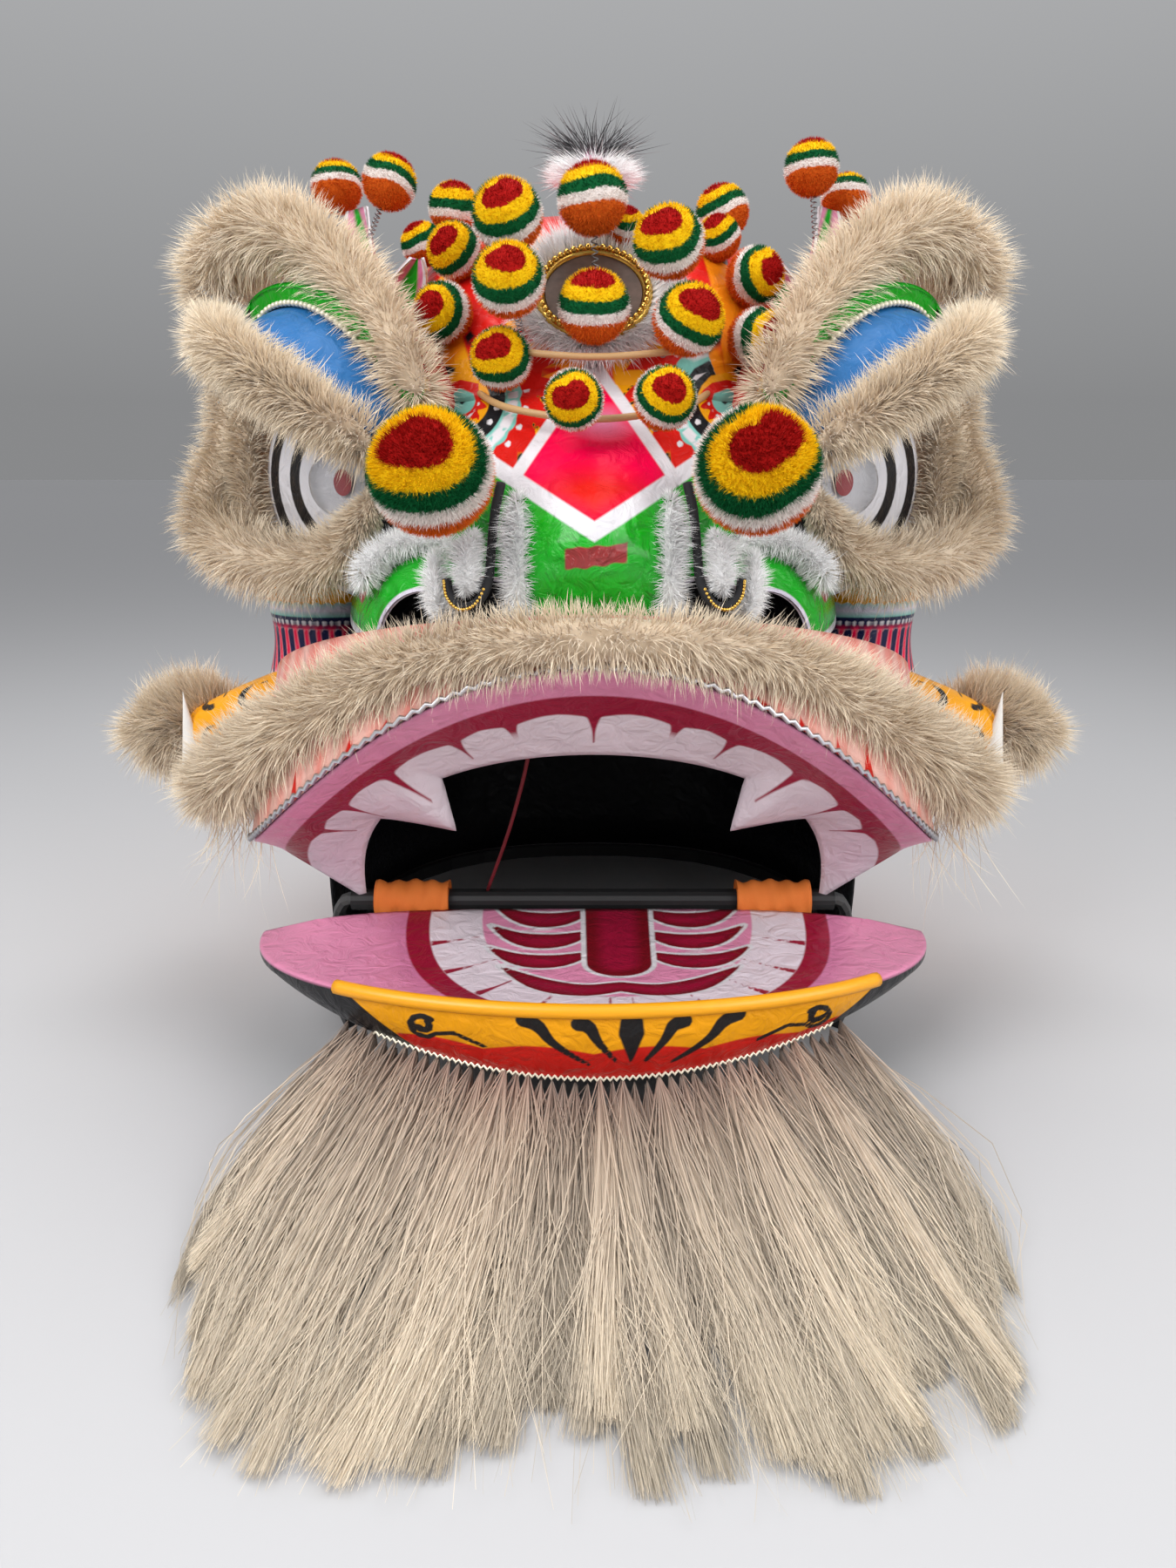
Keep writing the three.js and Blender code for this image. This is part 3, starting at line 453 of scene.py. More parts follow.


# %% Finishes that several pieces share
# The first colour of each fur is painted shade, used in the depth and at the roots; the second is the colour
# at the tips.
CREAM = fur_material("cream_fur", (0.58, 0.44, 0.30), (1.0, 0.88, 0.69))
SNOW = fur_material("white_fur", (0.97, 0.96, 0.96), (1.0, 1.0, 1.0), sheen=1.0, spread=0.05)
IVORY = fur_material("beard_hair", (0.30, 0.20, 0.155), (0.62, 0.53, 0.40), 0.5, spread=0.38)
BRISTLE = fur_material("black_bristle", (0.01, 0.01, 0.012), (0.03, 0.03, 0.035), 0.4)
SILVER = plain_material("silver_braid", (0.62, 0.62, 0.66), 0.3, 0.9, scale=500, depth=0.5)
VELVET = plain_material("black_velvet", (0.01, 0.01, 0.012), 0.8, scale=300, depth=0.4)
PEARL = plain_material("pearl", (0.85, 0.78, 0.62), 0.2, 0.2, scale=20, depth=0.15)
BAMBOO = plain_material("bamboo", (0.50, 0.30, 0.13), 0.5)
BLACK = plain_material("black_wrap", (0.015, 0.015, 0.016), 0.45)
GILT = plain_material("gilt", INK["gold"], 0.25, 1.0)
print("materials so far:", len(bpy.data.materials))

# %% [markdown]
# ## Hair
# Fur on the real head is strips of pelt, and the beard is long hair. Blender's
# own hair curves could draw both, but curves don't leave Blender as a mesh. So
# every hair is a narrow ribbon that tapers to a point. All the hairs of a piece
# are worked out together: where they root, which way they aim, how long they are
# and how they bow. Neighbours share a slow wander, so that they gather into
# locks as real pelts do.

# %% Ribbons of hair
def hair_arrays(roots, aims, lengths, width, bow, rings=3):
    """Ribbons of hair as points, faces and marks. bow bends the tips, as a share of the length."""
    count = len(roots)
    side = unit(np.cross(aims, rng.normal(size=(count, 3))))
    t = np.linspace(0, 1, rings + 1)
    line = roots[:, None] + aims[:, None] * (lengths[:, None] * t)[..., None]
    line = line + bow[:, None] * (lengths[:, None] * t**2)[..., None]
    half = (width / 2 * (1 - 0.75 * t[:-1]))[None, :, None] * side[:, None]
    left, right = line[:, :-1] - half, line[:, :-1] + half
    body = np.stack([left, right], axis=2).reshape(count, rings * 2, 3)
    points = np.concatenate([body, line[:, -1:]], axis=1)
    per = rings * 2 + 1
    faces = []
    for k in range(rings - 1):
        faces += [[2 * k, 2 * k + 1, 2 * k + 3], [2 * k, 2 * k + 3, 2 * k + 2]]
    faces.append([2 * rings - 2, 2 * rings - 1, 2 * rings])
    faces = (np.array(faces)[None] + (np.arange(count) * per)[:, None, None]).reshape(-1, 3)
    along = np.append(np.repeat(t[:-1], 2), 1)
    marks = {"along": np.tile(along, count), "tint": np.repeat(rng.uniform(0, 1, count), per)}
    return points.reshape(-1, 3), faces, marks


def join_arrays(*parts):
    points, faces, marks, start = [], [], {}, 0
    for p, f, m in parts:
        points.append(p)
        faces.append(np.asarray(f) + start)
        for key, values in m.items():
            marks.setdefault(key, []).append(values)
        start += len(p)
    return np.concatenate(points), np.concatenate(faces), {k: np.concatenate(v) for k, v in marks.items()}


# %% Tubes and beads
def quads_to_tris(faces):
    faces = np.asarray(faces)
    return np.concatenate([faces[:, [0, 1, 2]], faces[:, [0, 2, 3]]])


def tube_arrays(line, radii, sides=10):
    """A round tube along points; the ends close in a point."""
    line, radii = np.asarray(line, float), np.broadcast_to(np.asarray(radii, float), len(line))
    along = unit(np.gradient(line, axis=0))
    up = unit(np.cross(along, np.cross((0.13, 0.21, 0.97), along)))
    across = np.cross(along, up)
    a = np.linspace(0, 2 * np.pi, sides, endpoint=False)
    ring = up[:, None] * np.cos(a)[None, :, None] + across[:, None] * np.sin(a)[None, :, None]
    points = (line[:, None] + ring * radii[:, None, None]).reshape(-1, 3)
    i, k = np.meshgrid(np.arange(len(line) - 1), np.arange(sides), indexing="ij")
    a, b = (i * sides + k).ravel(), (i * sides + (k + 1) % sides).ravel()
    faces = np.concatenate([np.stack([a, b, b + sides], 1), np.stack([a, b + sides, a + sides], 1)])
    k = np.arange(sides)
    last = (len(line) - 1) * sides
    first_cap = np.stack([np.full(sides, len(points)), (k + 1) % sides, k], 1)
    last_cap = np.stack([np.full(sides, len(points) + 1), last + k, last + (k + 1) % sides], 1)
    points = np.concatenate([points, line[:1], line[-1:]])
    return points, np.concatenate([faces, first_cap, last_cap])


def bead_arrays(centres, radius, steps=6):
    """Many small balls in one mesh."""
    u, v = np.meshgrid(np.linspace(0, 2 * np.pi, steps + 1)[:-1], np.linspace(0.02, np.pi - 0.02, steps))
    ball = np.stack([np.sin(v) * np.cos(u), np.sin(v) * np.sin(u), np.cos(v)], -1).reshape(-1, 3) * radius
    i, j = np.meshgrid(np.arange(steps), np.arange(steps - 1))
    a, b = (j * steps + i).ravel(), (j * steps + (i + 1) % steps).ravel()
    quads = np.stack([a + steps, b + steps, b, a], axis=1)
    points = (np.asarray(centres, float)[:, None] + ball[None]).reshape(-1, 3)
    return points, (quads[None] + (np.arange(len(centres)) * len(ball))[:, None, None]).reshape(-1, 4)


# %% Rolls of fur
def fur_roll(rows, hairs, face, core=0.5, width=0.9, reach=1.14, bow=(0, 0, -0.12), seed=1):
    """A roll of fur with round ends: a core coloured as painted shade in the fur's depth, short under-hair
    and longer guard hairs round it.
    """
    rows = np.asarray(rows, float)
    t = np.linspace(0, 1, 40)
    centre = spline(rows, t)
    rounding = np.sqrt(np.clip(np.minimum(t, 1 - t) / 0.1, 0.02, 1))
    core_points, core_faces = tube_arrays(centre[:, :3], centre[:, 3] * core * rounding, 12)
    count = len(core_points)
    # The core takes the colour of the hair's depth: painted shade between the hairs.
    core_marks = {"along": np.full(count, 0.2), "tint": np.full(count, 0.5)}
    over = rng.uniform(-0.06, 1.06, hairs)
    t = np.clip(over, 0, 1)
    here = spline(rows, t)
    ahead = unit(spline(rows, np.clip(t + 0.01, 0, 1))[:, :3] - spline(rows, np.clip(t - 0.01, 0, 1))[:, :3])
    out = np.asarray(face, float) if np.ndim(face) == 1 else face(here[:, :3])
    first = unit(out - (out * ahead).sum(1, keepdims=True) * ahead)
    second = np.cross(ahead, first)
    a = np.pi * rng.choice([-1, 1], hairs) * rng.uniform(0, 1, hairs) ** 1.2
    around = first * np.cos(a)[:, None] + second * np.sin(a)[:, None]
    past = np.clip((over - 0.95) / 0.11, 0, 1) - np.clip((0.05 - over) / 0.11, 0, 1)
    around = around * np.cos(past * np.pi / 2)[:, None] + ahead * np.sin(past * np.pi / 2)[:, None]
    roots = here[:, :3] + around * (here[:, 3] * core * (1 - 0.6 * np.abs(past)))[:, None]
    aims = unit(around + 0.2 * ripple(roots, 20, seed) + 0.1 * ripple(roots, 7, seed + 2)
                + 0.18 * rng.normal(size=(hairs, 3)))
    lengths = here[:, 3] * (reach - core) * rng.uniform(0.7, 1.1, hairs)
    lengths *= 1 + 0.09 * ripple(roots, 16, seed + 8)[:, 0]
    bows = np.asarray(bow) + 0.07 * ripple(roots, 15, seed + 5) + 0.08 * rng.normal(size=(hairs, 3))
    guard = np.arange(hairs) % 2 == 0
    under = ~guard
    lengths[guard] *= 1 + 0.3 * rng.uniform(0, 1, guard.sum()) ** 3
    return join_arrays(
        (core_points, core_faces, core_marks),
        hair_arrays(roots[guard], aims[guard], lengths[guard], width, bows[guard], rings=2),
        hair_arrays(roots[under], aims[under], lengths[under] * 0.85, width * 1.1, bows[under], rings=1))

# %% [markdown]
# ## The mouth cord
# A thin dark red cord runs from the bar up into the nose. A curve object with a
# bevel would draw it too. A tube through the same five points as the CAD part
# was chosen, because its length can be measured along the line.

# %% Mouth cord
CORD = [(-89, 26, 115), (-64, -4, 190), (-46, -30, 270), (-34, -58, 390), (-26, -92, 486)]
CORD_RADIUS = 1.6
line = spline(CORD, np.linspace(0, 1, 25))
cord_red = plain_material("red_cord", INK["dark_red"], 0.6, scale=400, depth=0.4)
cord = add_mesh("mouth_cord_line", *tube_arrays(line, CORD_RADIUS, 8), {}, [cord_red], "head", "red_cord",
                ["mouth_cord"])

# %% [markdown]
# ## The skull
# The big shell is paper on a bamboo cage. Its forehead is orange with red
# flames, and over each temple sits a round flower: a teal eye, red rays, a black
# band with white dots, and teal petals. The shell could be a subdivided cage of
# a few points. It is built from the same curve as the CAD solid, only finer,
# because the snout, the eyes and the cheeks have to meet it. The inside is
# painted black.

# %% Skull form
SKULL = {"y": 200, "half": 245, "front": 315, "back": 270, "foot": 14.4, "rise": 641}
FACE_EDGE = {"from": 100, "to": 150, "height": 505}
EYE = np.array((180, -25, 450), float)
EYE_ACROSS = np.array((0.8, 0.6, 0))
EYE_WAY = np.array((0.6, -0.8, 0))
EYE_DISH = {"outer": 116, "inner": 70, "tall": 86, "deep": 22}
CHEEK = {"x": 218, "y": 92, "radius": 60, "low": 282, "high": 368}


def plan_radius(angle):
    deep = np.where(np.cos(angle) > 0, SKULL["back"], SKULL["front"])
    across, along = np.abs(np.sin(angle)) / SKULL["half"], np.abs(np.cos(angle)) / deep
    return (across**2.4 + along**2.4) ** (-1 / 2.4)


def dome(angle, climb):
    swell = 0.55 + 0.35 * ((1 + np.cos(angle)) / 2) ** 2
    r = plan_radius(angle) * np.maximum(0, np.cos(climb)) ** swell
    return stack(r * np.sin(angle), SKULL["y"] + r * np.cos(angle),
                 SKULL["foot"] + SKULL["rise"] * np.sin(climb) ** 0.8)


def skull_point(u, v):
    degrees = mix(-180, 180, u)
    edge = smooth(FACE_EDGE["from"], FACE_EDGE["to"], np.abs(degrees))
    low = (edge * (FACE_EDGE["height"] - SKULL["foot"]) / SKULL["rise"]) ** 1.25
    return dome(np.radians(degrees), mix(np.arcsin(low), np.pi / 2, np.minimum(v, 0.999)))


# %% Painted flames and the kite
def flames(across, up, count, height, seed):
    """Tongues of flame along an edge: how far a point lies inside them."""
    wave = np.random.default_rng(seed).uniform(0.7, 1.2, count)
    place = np.clip(across, 0, 0.9999) * count
    i = place.astype(int)
    lean = (place - i - 0.5) * 2 + 0.5 * (up / height) ** 2
    top = height * wave[i] * (1 - np.abs(lean))
    return (top - up) * 0.5


def kite(x, z):
    """The pointed field on the bridge of the nose, wide at its foot and closing at the forehead."""
    return np.minimum((523 - z) * 0.67 - np.abs(x), z - (426 + np.abs(x) * 0.52))


# %% Painted flowers
FLOWER = {"x": 92, "z": 505}


def ring_dots(a, r, count, radius, size):
    """Round dots set evenly round a ring."""
    step = 2 * np.pi * radius / count
    return size - np.hypot((np.mod(a / (2 * np.pi) * count, 1) - 0.5) * step, r - radius)


def flower(x, z):
    """The temple flower in layers, first to last: an eye in red rays, petals and flames on its nose side."""
    near, up = FLOWER["x"] - np.abs(x), z - FLOWER["z"]
    r, a = np.hypot(near, up), np.arctan2(up, near)
    inner = (np.cos(a + 0.5) + 0.15) * 30
    saw = np.abs(np.mod(a * 9 / np.pi + r / 28, 1) * 2 - 1)
    tongues = (52 + 26 * (1 - saw) - r) * 0.5
    feather = np.minimum((0.2 - np.abs(np.mod(a * 9 / np.pi + r / 40, 1) - 0.5)) * 12, band(r, 22, 50))
    return {"f_flame": np.minimum(tongues, inner), "f_line": np.minimum(band(tongues, -2.2, 0), inner),
            "f_feather": np.minimum(feather, -inner),
            "f_spot": np.minimum(ring_dots(a, r, 22, 46, 2.3), inner),
            "f_petal": np.minimum(41 + 2 * np.abs(np.sin(a * 11)) - r, inner),
            "f_cell": np.minimum(np.minimum(band(r, 33, 40), np.abs(np.sin(a * 11)) * 9 - 2), inner),
            "f_band": np.minimum(31 - r, inner),
            "f_dot": np.minimum(ring_dots(a, r, 15, 26, 2.3), inner),
            "f_core": 20 - r, "f_ray": 13 + 6 * np.abs(np.sin(a * 6)) ** 2 - r,
            "f_bead": ring_dots(a, r, 16, 12.5, 1.3), "f_eye": 9.5 - r, "f_pupil": 2.6 - r}


FLOWER_INKS = [
    ("f_flame", "red", 0.6), ("f_line", "black", 0.4), ("f_feather", "black", 0.4), ("f_spot", "white", 0.4),
    ("f_petal", "teal", 0.5), ("f_cell", "white", 0.8), ("f_band", "black", 0.5), ("f_dot", "white", 0.4),
    ("f_core", "yellow", 0.5), ("f_ray", "red", 0.5), ("f_bead", "white", 0.4), ("f_eye", "teal", 0.5),
    ("f_pupil", "black", 0.5)]

# %% Skull shell
points, faces, on, p = sheet_arrays(skull_point, 132, 54, 3, {"from": (0, 200, 300)})
angle = np.arctan2(p[:, 0], p[:, 1] - SKULL["y"])
from_edge = np.linalg.norm(p - skull_point(on["u"], 0 * on["v"]), axis=1)
side_flames = flames((angle + np.pi) / (2 * np.pi), p[:, 2] - 14, 22, 150, 3)
upper_flames = flames(np.mod((angle + np.pi) / (2 * np.pi) + 0.02, 1), 640 - p[:, 2], 18, 120, 5)
stripe_up = band(np.abs(np.sin(angle * 7 + p[:, 2] / 60)) * 40, 28, 60)
at_side = band(np.abs(on["u"] - 0.5) * 360, FACE_EDGE["from"] + 2, FACE_EDGE["to"])
dark_edge = np.minimum(16 - from_edge, at_side)
marks = {"inside_ink": np.maximum(on["inside"] - 0.98, dark_edge),
         "red_low": side_flames, "red_high": upper_flames,
         "yellow_edge": side_flames + 9, "streak": np.minimum(stripe_up, p[:, 2] - 200)}
field = kite(p[:, 0], p[:, 2])
fields = {"kite": field, "kite_edge": field + 10, **flower(p[:, 0], p[:, 2])}
for key, value in fields.items():
    marks[key] = np.where(p[:, 1] < 140, value, -50)
face_paint = paint_material("face_paint", "orange", [
    ("streak", "yellow", 3), ("yellow_edge", "yellow", 1.5), ("red_low", "red", 1), ("red_high", "red", 2),
    *FLOWER_INKS, ("kite_edge", "white", 0.8), ("kite", "magenta", 0.8)], gloss=0.18)
from_dish = p * stack(np.where(p[:, 0] < 0, -1, 1), 1, 1) - EYE
share = (from_dish @ EYE_ACROSS / EYE_DISH["outer"]) ** 2 + (from_dish[:, 2] / EYE_DISH["tall"]) ** 2
in_front = (share < 1.08) & (from_dish @ EYE_WAY > -EYE_DISH["deep"] * share - 8)
near_cheek = np.hypot(np.abs(p[:, 0]) - CHEEK["x"], p[:, 1] - CHEEK["y"]) < CHEEK["radius"] + 14
cheek_high = band(p[:, 2], CHEEK["low"] - 12, CHEEK["high"] + 12) > 0
by_cheek = near_cheek & (p[:, 1] < 60) & cheek_high
faces = faces[~(in_front | by_cheek)[faces].any(axis=1)]
add_mesh("skull_shell", points, faces, marks, [face_paint], "head", "face_paint", ["skull"])

# %% Forehead leaves
def leaf_point(u, v):
    wide = 30 * np.sin(np.pi * mix(0.32, 0.9, v))
    bulge = 6 * np.sin(np.pi * u)
    return stack(mix(147, 132, v) + wide * (u - 0.5), mix(43, 36, v) + bulge, mix(578, 612, v))


points, faces, on, _ = sheet_arrays(leaf_point, 12, 20, 2.4, {"way": (0, -1, 0.2)})
marks = {"inside_ink": on["inside"] - 0.98, "heart": 8 - 22 * np.abs(on["u"] - 0.5) - 5 * on["v"],
         "trim": band(np.abs(on["u"] - 0.5), 0.40, 0.6) * 26}
leaf_paint = paint_material("leaf_paint", "rose", [
    ("heart", "green", 1), ("trim", "white", 0.6)], inside="rose")
add_pair("forehead_leaf_{side}", points, faces, marks, [leaf_paint], "head", "face_paint")

# %% [markdown]
# ## Bamboo hoop, bar and strips
# The shell stands on a split bamboo hoop, and a bar across the mouth carries the
# jaw. Both are bound in black cloth. Their CAD solids are fine enough to show,
# so they only get a new material. Two bent bamboo strips over the nose hold some
# of the springs. They are rebuilt as round tubes, because the eye follows their
# thin bright line.

# %% Frame pieces
for name in ("base_hoop", "jaw_bar"):
    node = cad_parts[name]
    node.data.materials.clear()
    node.data.materials.append(BLACK)
    print(name, "faces:", len(node.data.polygons))

STRIPS = {"hoop_upper": [(0, -82, 532), (62, -60, 538), (92, -6, 545)],
          "hoop_lower": [(0, -114, 491), (57, -92, 499), (86, -26, 515)]}
for name, half in STRIPS.items():
    rows = np.array([(-x, y, z) for x, y, z in half[:0:-1]] + half, float)
    tube = tube_arrays(spline(rows, np.linspace(0, 1, 40)), 2.4, 10)
    add_mesh(f"{name}_strip", *tube, {}, [BAMBOO], "head", "bamboo", [name])

# %% [markdown]
# ## Muzzle, nose and nostrils
# The upper lip arches over the mouth. The nose sits on it with a green front, a
# pink kite above and two curled nostrils. On the real head these are separate
# pieces of paper glued edge to edge, painted in flat bright fields with white
# edges. Cutting the fields as faces would give jagged edges, so each is drawn as
# a distance on a plain sheet. The nose gets a deeper crease and more gloss,
# because the photo shows it shinier and more wrinkled than the rest.

# %% Muzzle
LIP = {"half": 268, "y": -15, "deep": 160, "z": 180, "rise": 159}


def lip_point(a):
    c = np.maximum(0, np.cos(a))
    return stack(LIP["half"] * np.sin(a), LIP["y"] - LIP["deep"] * c, LIP["z"] + LIP["rise"] * c**2.2)


def arch_angle(u):
    return np.radians(mix(-90, 90, u))


def muzzle_point(u, v):
    a = arch_angle(u)
    c = np.maximum(0, np.cos(a))
    high = stack(255 * np.sin(a), 60 - 215 * c, 290 + 78 * c)
    return mix(lip_point(a), high, v[:, None])


points, faces, on, _ = sheet_arrays(muzzle_point, 100, 12, 3, {"from": (0, 120, 260)})
tongues = flames(on["u"], on["v"] * 110, 26, 70, 7)
marks = {"inside_ink": on["inside"] - 0.98, "flame": tongues - 22, "ember": tongues - 27,
         "vein": 1.5 - 12 * np.abs(np.mod(on["u"] * 30, 1) - 0.5) + 2 * on["v"]}
muzzle_paint = paint_material("muzzle_paint", "lavender", [
    ("vein", "pink", 2), ("flame", "orange", 1.5), ("ember", "red", 1.5)])
add_mesh("muzzle_shell", points, faces, marks, [muzzle_paint], "head", "cheek_paint", ["muzzle"])


# %% Muzzle lining
def lining_point(u, v):
    """Dark cloth that closes the side behind the nostril, back to the cheek's inner edge."""
    foot = mix(np.array((164, -96, 342)), np.array((187, 44, 284)), u[:, None])
    top = mix(np.array((148, -58, 394)), np.array((187, 44, 368)), u[:, None])
    return mix(foot, top, v[:, None])


points, faces, _, _ = sheet_arrays(lining_point, 16, 8, 1, {"way": (1, 0, 0)})
add_pair("muzzle_lining_{side}", points, faces, {}, [VELVET], "head", "cheek_paint", ["muzzle"])

# %% Snout
SNOUT = [  # y, z, half width, how far the sides fall back, how far they sag
    (-152, 364, 52, 16, 4), (-168, 398, 50, 22, 6), (-164, 428, 52, 26, 10),
    (-132, 458, 90, 40, 22), (-98, 484, 100, 30, 16), (-64, 509, 104, 24, 10)]


def snout_point(u, v):
    s = mix(-1, 1, u)
    y, z, half, back, sag = spline(SNOUT, v).T
    return stack(half * s, y + back * s**2, z - sag * s**2)


def snout_lapped(u, v):
    """The snout with its top edge carried on a little, so that it laps the skull."""
    lap = np.maximum(0, (v - 0.95) / 0.05)
    return snout_point(u, np.minimum(v / 0.95, 1)) + stack(0, 8 * lap, 6 * lap)


points, faces, on, p = sheet_arrays(snout_lapped, 70, 80, 3, {"from": (0, 60, 380)})
x, z = p[:, 0], p[:, 2]
far = np.abs(x)
nose_line = (415.5 + 0.6 * far) - z
field = kite(x, z)
ragged = 0.6 * ripple(p, 4, 3)[:, 0]
marks = {"inside_ink": on["inside"] - 0.98, "nose": nose_line, "nose_edge": nose_line + 12,
         "spot": np.minimum(19 - np.abs(x - 1), 6 + ragged - np.abs(z - 407 - 0.1 * x)), "kite": field,
         "kite_edge": field + 10, "kite_red": np.minimum(field - 4, 22 - np.hypot(x / 1.5, z - 436)),
         "kite_light": np.minimum(field - 3, 12 - np.hypot((x - 6) / 1.5, (z - 489) / 0.8)) - 3,
         **flower(x, z)}
NOSE_INKS = [
    *FLOWER_INKS, ("kite_edge", "white", 0.8), ("kite", "magenta", 0.8), ("kite_red", "red", 9),
    ("kite_light", "pink", 9), ("nose_edge", "white", 0.8), ("nose", "green", 0.8), ("spot", "brick", 0.6)]
bridge_paint = paint_material("bridge_paint", "yellow", NOSE_INKS, gloss=0.06)
nose_paint = paint_material("nose_paint", "yellow", NOSE_INKS, rough=0.2, film=1)
on_nose = nose_line[faces].mean(axis=1) > 0
add_mesh("snout_shell", points, faces, marks, [bridge_paint, nose_paint], "head", "nose_paint", ["snout"],
         on_nose)

# %% Nostrils
NOSTRIL = {"x": 113, "z": 342, "wide": 71, "tall": 80, "mouth": 0.48, "y": -152, "deep": 78, "sweep": 0.42}


def hood(degrees, v):
    """A hood on the side of the nose that widens from its small mouth to its back edge."""
    a = np.radians(degrees)
    size = mix(mix(NOSTRIL["mouth"], 1, np.sqrt(v)), 1, smooth(105, 150, degrees))
    x = NOSTRIL["x"] + NOSTRIL["wide"] * size * np.cos(a)
    y = NOSTRIL["y"] + NOSTRIL["deep"] * v + NOSTRIL["sweep"] * (x - NOSTRIL["x"] + NOSTRIL["wide"])
    return stack(x, y, NOSTRIL["z"] + NOSTRIL["tall"] * size * np.sin(a))


def nostril_point(u, v):
    return hood(mix(174, 4, u), v)


points, faces, on, _ = sheet_arrays(nostril_point, 60, 24, 3, {"from": (113, -100, 342)})
run = on["u"] * 233
deep = np.sqrt(on["v"]) * 50
marks = {"inside_ink": on["inside"] - 0.98, "edge": 3 - deep, "foot": 4 - (1 - on["u"]) * 150,
         "spot": np.minimum(9 - np.abs(run - 196), 6 - np.abs(deep - 32))}
nostril_paint = paint_material("nostril_paint", "green", [
    ("edge", "lavender", 0.6), ("foot", "white", 0.6), ("spot", "brick", 0.8)], rough=0.2, film=1)
add_pair("nostril_shell_{side}", points, faces, marks, [nostril_paint], "head", "nose_paint", ["snout"])


# %% Flanks of the nose
def flank_point(u, v):
    """The cheek of the nose, from its edge down to the top of the hood."""
    edge = snout_point(np.ones_like(u), mix(0.2, 0.62, v))
    return mix(edge, hood(mix(155, 95, v), 0.2 + 0.35 * v), u[:, None])


points, faces, on, _ = sheet_arrays(flank_point, 8, 24, 2, {"way": (0.5, -0.6, 0.6)})
marks = {"inside_ink": on["inside"] - 0.98}
flank_paint = paint_material("flank_paint", "green", [], rough=0.2, film=1)
add_pair("nose_flank_{side}", points, faces, marks, [flank_paint], "head", "nose_paint", ["snout"])

# %% [markdown]
# ## Upper teeth
# Behind the lip a painted band curves in: pink gum, a crimson line, then a row
# of teeth with two long fangs. Each tooth could be a solid of its own. On the
# real head they are only painted on one band, so the band is one sheet, the gaps
# are crimson wedges, and its lower edge is drawn down at the fangs.

# %% Teeth
FANG = {"from": 36, "tip": 42, "to": 60, "x": -24, "y": 4, "z": -36}


def gum_point(a):
    c = np.maximum(0, np.cos(a))
    return stack(192 * np.sin(a), 28 - 123 * c**1.1, 106 + 157 * c**0.8)


def fang_drop(a):
    """How far the teeth's lower edge is drawn out into a fang."""
    turn = np.abs(np.degrees(a))
    inner = (turn - FANG["from"]) / (FANG["tip"] - FANG["from"])
    outer = (FANG["to"] - turn) / (FANG["to"] - FANG["tip"])
    near = np.maximum(0, np.minimum(inner, outer))
    return stack(FANG["x"] * near * np.sign(a), FANG["y"] * near, FANG["z"] * near)


def teeth_point(u, v):
    a = arch_angle(u)
    band_at = mix(lip_point(a) + (0, 4, -3), gum_point(a), v[:, None])
    return band_at + fang_drop(a) * np.maximum(0, (v - 0.5) / 0.5)[:, None]


GAPS = (0, 14.5, 25, 40, 54, 66)
points, faces, on, _ = sheet_arrays(teeth_point, 180, 18, 2.4, {"way": (0, -1, -0.4)})
a = np.degrees(arch_angle(on["u"]))
apart = np.min([np.abs(np.abs(a) - gap) for gap in GAPS], axis=0)
crown = 0.56 - 0.09 * np.sqrt(np.clip(apart / 6, 0, 1))
wide = 0.2 + 1.2 * (1 - np.clip((on["v"] - 0.5) / 0.3, 0, 1)) ** 2.2
marks = {"inside_ink": on["inside"] - 0.98, "line": (on["v"] - 0.27) * 80, "tooth": (on["v"] - crown) * 80,
         "gap": np.minimum((wide - apart) * 3.2, band(on["v"], 0.46, 0.84) * 80)}
mouth_paint = paint_material("mouth_paint", "pink", [
    ("line", "crimson", 0.8), ("tooth", "tooth", 0.8), ("gap", "crimson", 0.7)])
add_mesh("upper_teeth_shell", points, faces, marks, [mouth_paint], "head", "mouth_paint", ["upper_teeth"])

# %% [markdown]
# ## The jaw
# The jaw is a dished paper plate that hangs on the bar by two cloth sleeves. Its
# top is painted as an open mouth: pink, a ring of white teeth, crimson gums and
# a long tongue with feather strokes. A yellow and red skirt folds down from its
# front rim, and the beard hangs from the skirt. Plate and skirt could be two
# meshes. One sheet with a fold was chosen, so that no seam shows at the rim.

# %% Jaw form
JAW = {"rim": 99, "back_half": 225, "back": 17, "dish": 8, "fold": 0.6}


def jaw_rim(a):
    c = np.maximum(0, np.cos(a))
    height = JAW["rim"] - 6 * np.abs(np.sin(a)) ** 3
    return stack(LIP["half"] * np.sin(a), LIP["y"] - LIP["deep"] * c, height)


def skirt_foot(a):
    c = np.maximum(0, np.cos(np.minimum(np.abs(a) * 1.4, np.pi / 2)))
    return jaw_rim(a) * stack(1 - 0.12 * c, 1, 1) + stack(0, 2 + 16 * c, -7 - 52 * c)


def jaw_point(u, v):
    a = arch_angle(u)
    rim, foot = jaw_rim(a), skirt_foot(a)
    back = stack(JAW["back_half"] * np.sin(a), JAW["back"] - 22 * np.sin(a) ** 4, 100)
    out = np.minimum(v / JAW["fold"], 1)
    down = np.maximum(0, (v - JAW["fold"]) / (1 - JAW["fold"]))
    plate = mix(back, rim, out[:, None]) + stack(0, 0, -JAW["dish"] * np.sin(np.pi * out) * np.cos(a))
    skirt = mix(rim, foot, down[:, None]) + stack(0, -5 * np.sin(np.pi * down) * np.cos(a), 0)
    return np.where((v > JAW["fold"])[:, None], skirt, plate)


# %% Paint on the jaw's plate
def oval(x, y, rx, ry):
    return (1 - np.hypot(x / rx, y / ry)) * min(rx, ry)


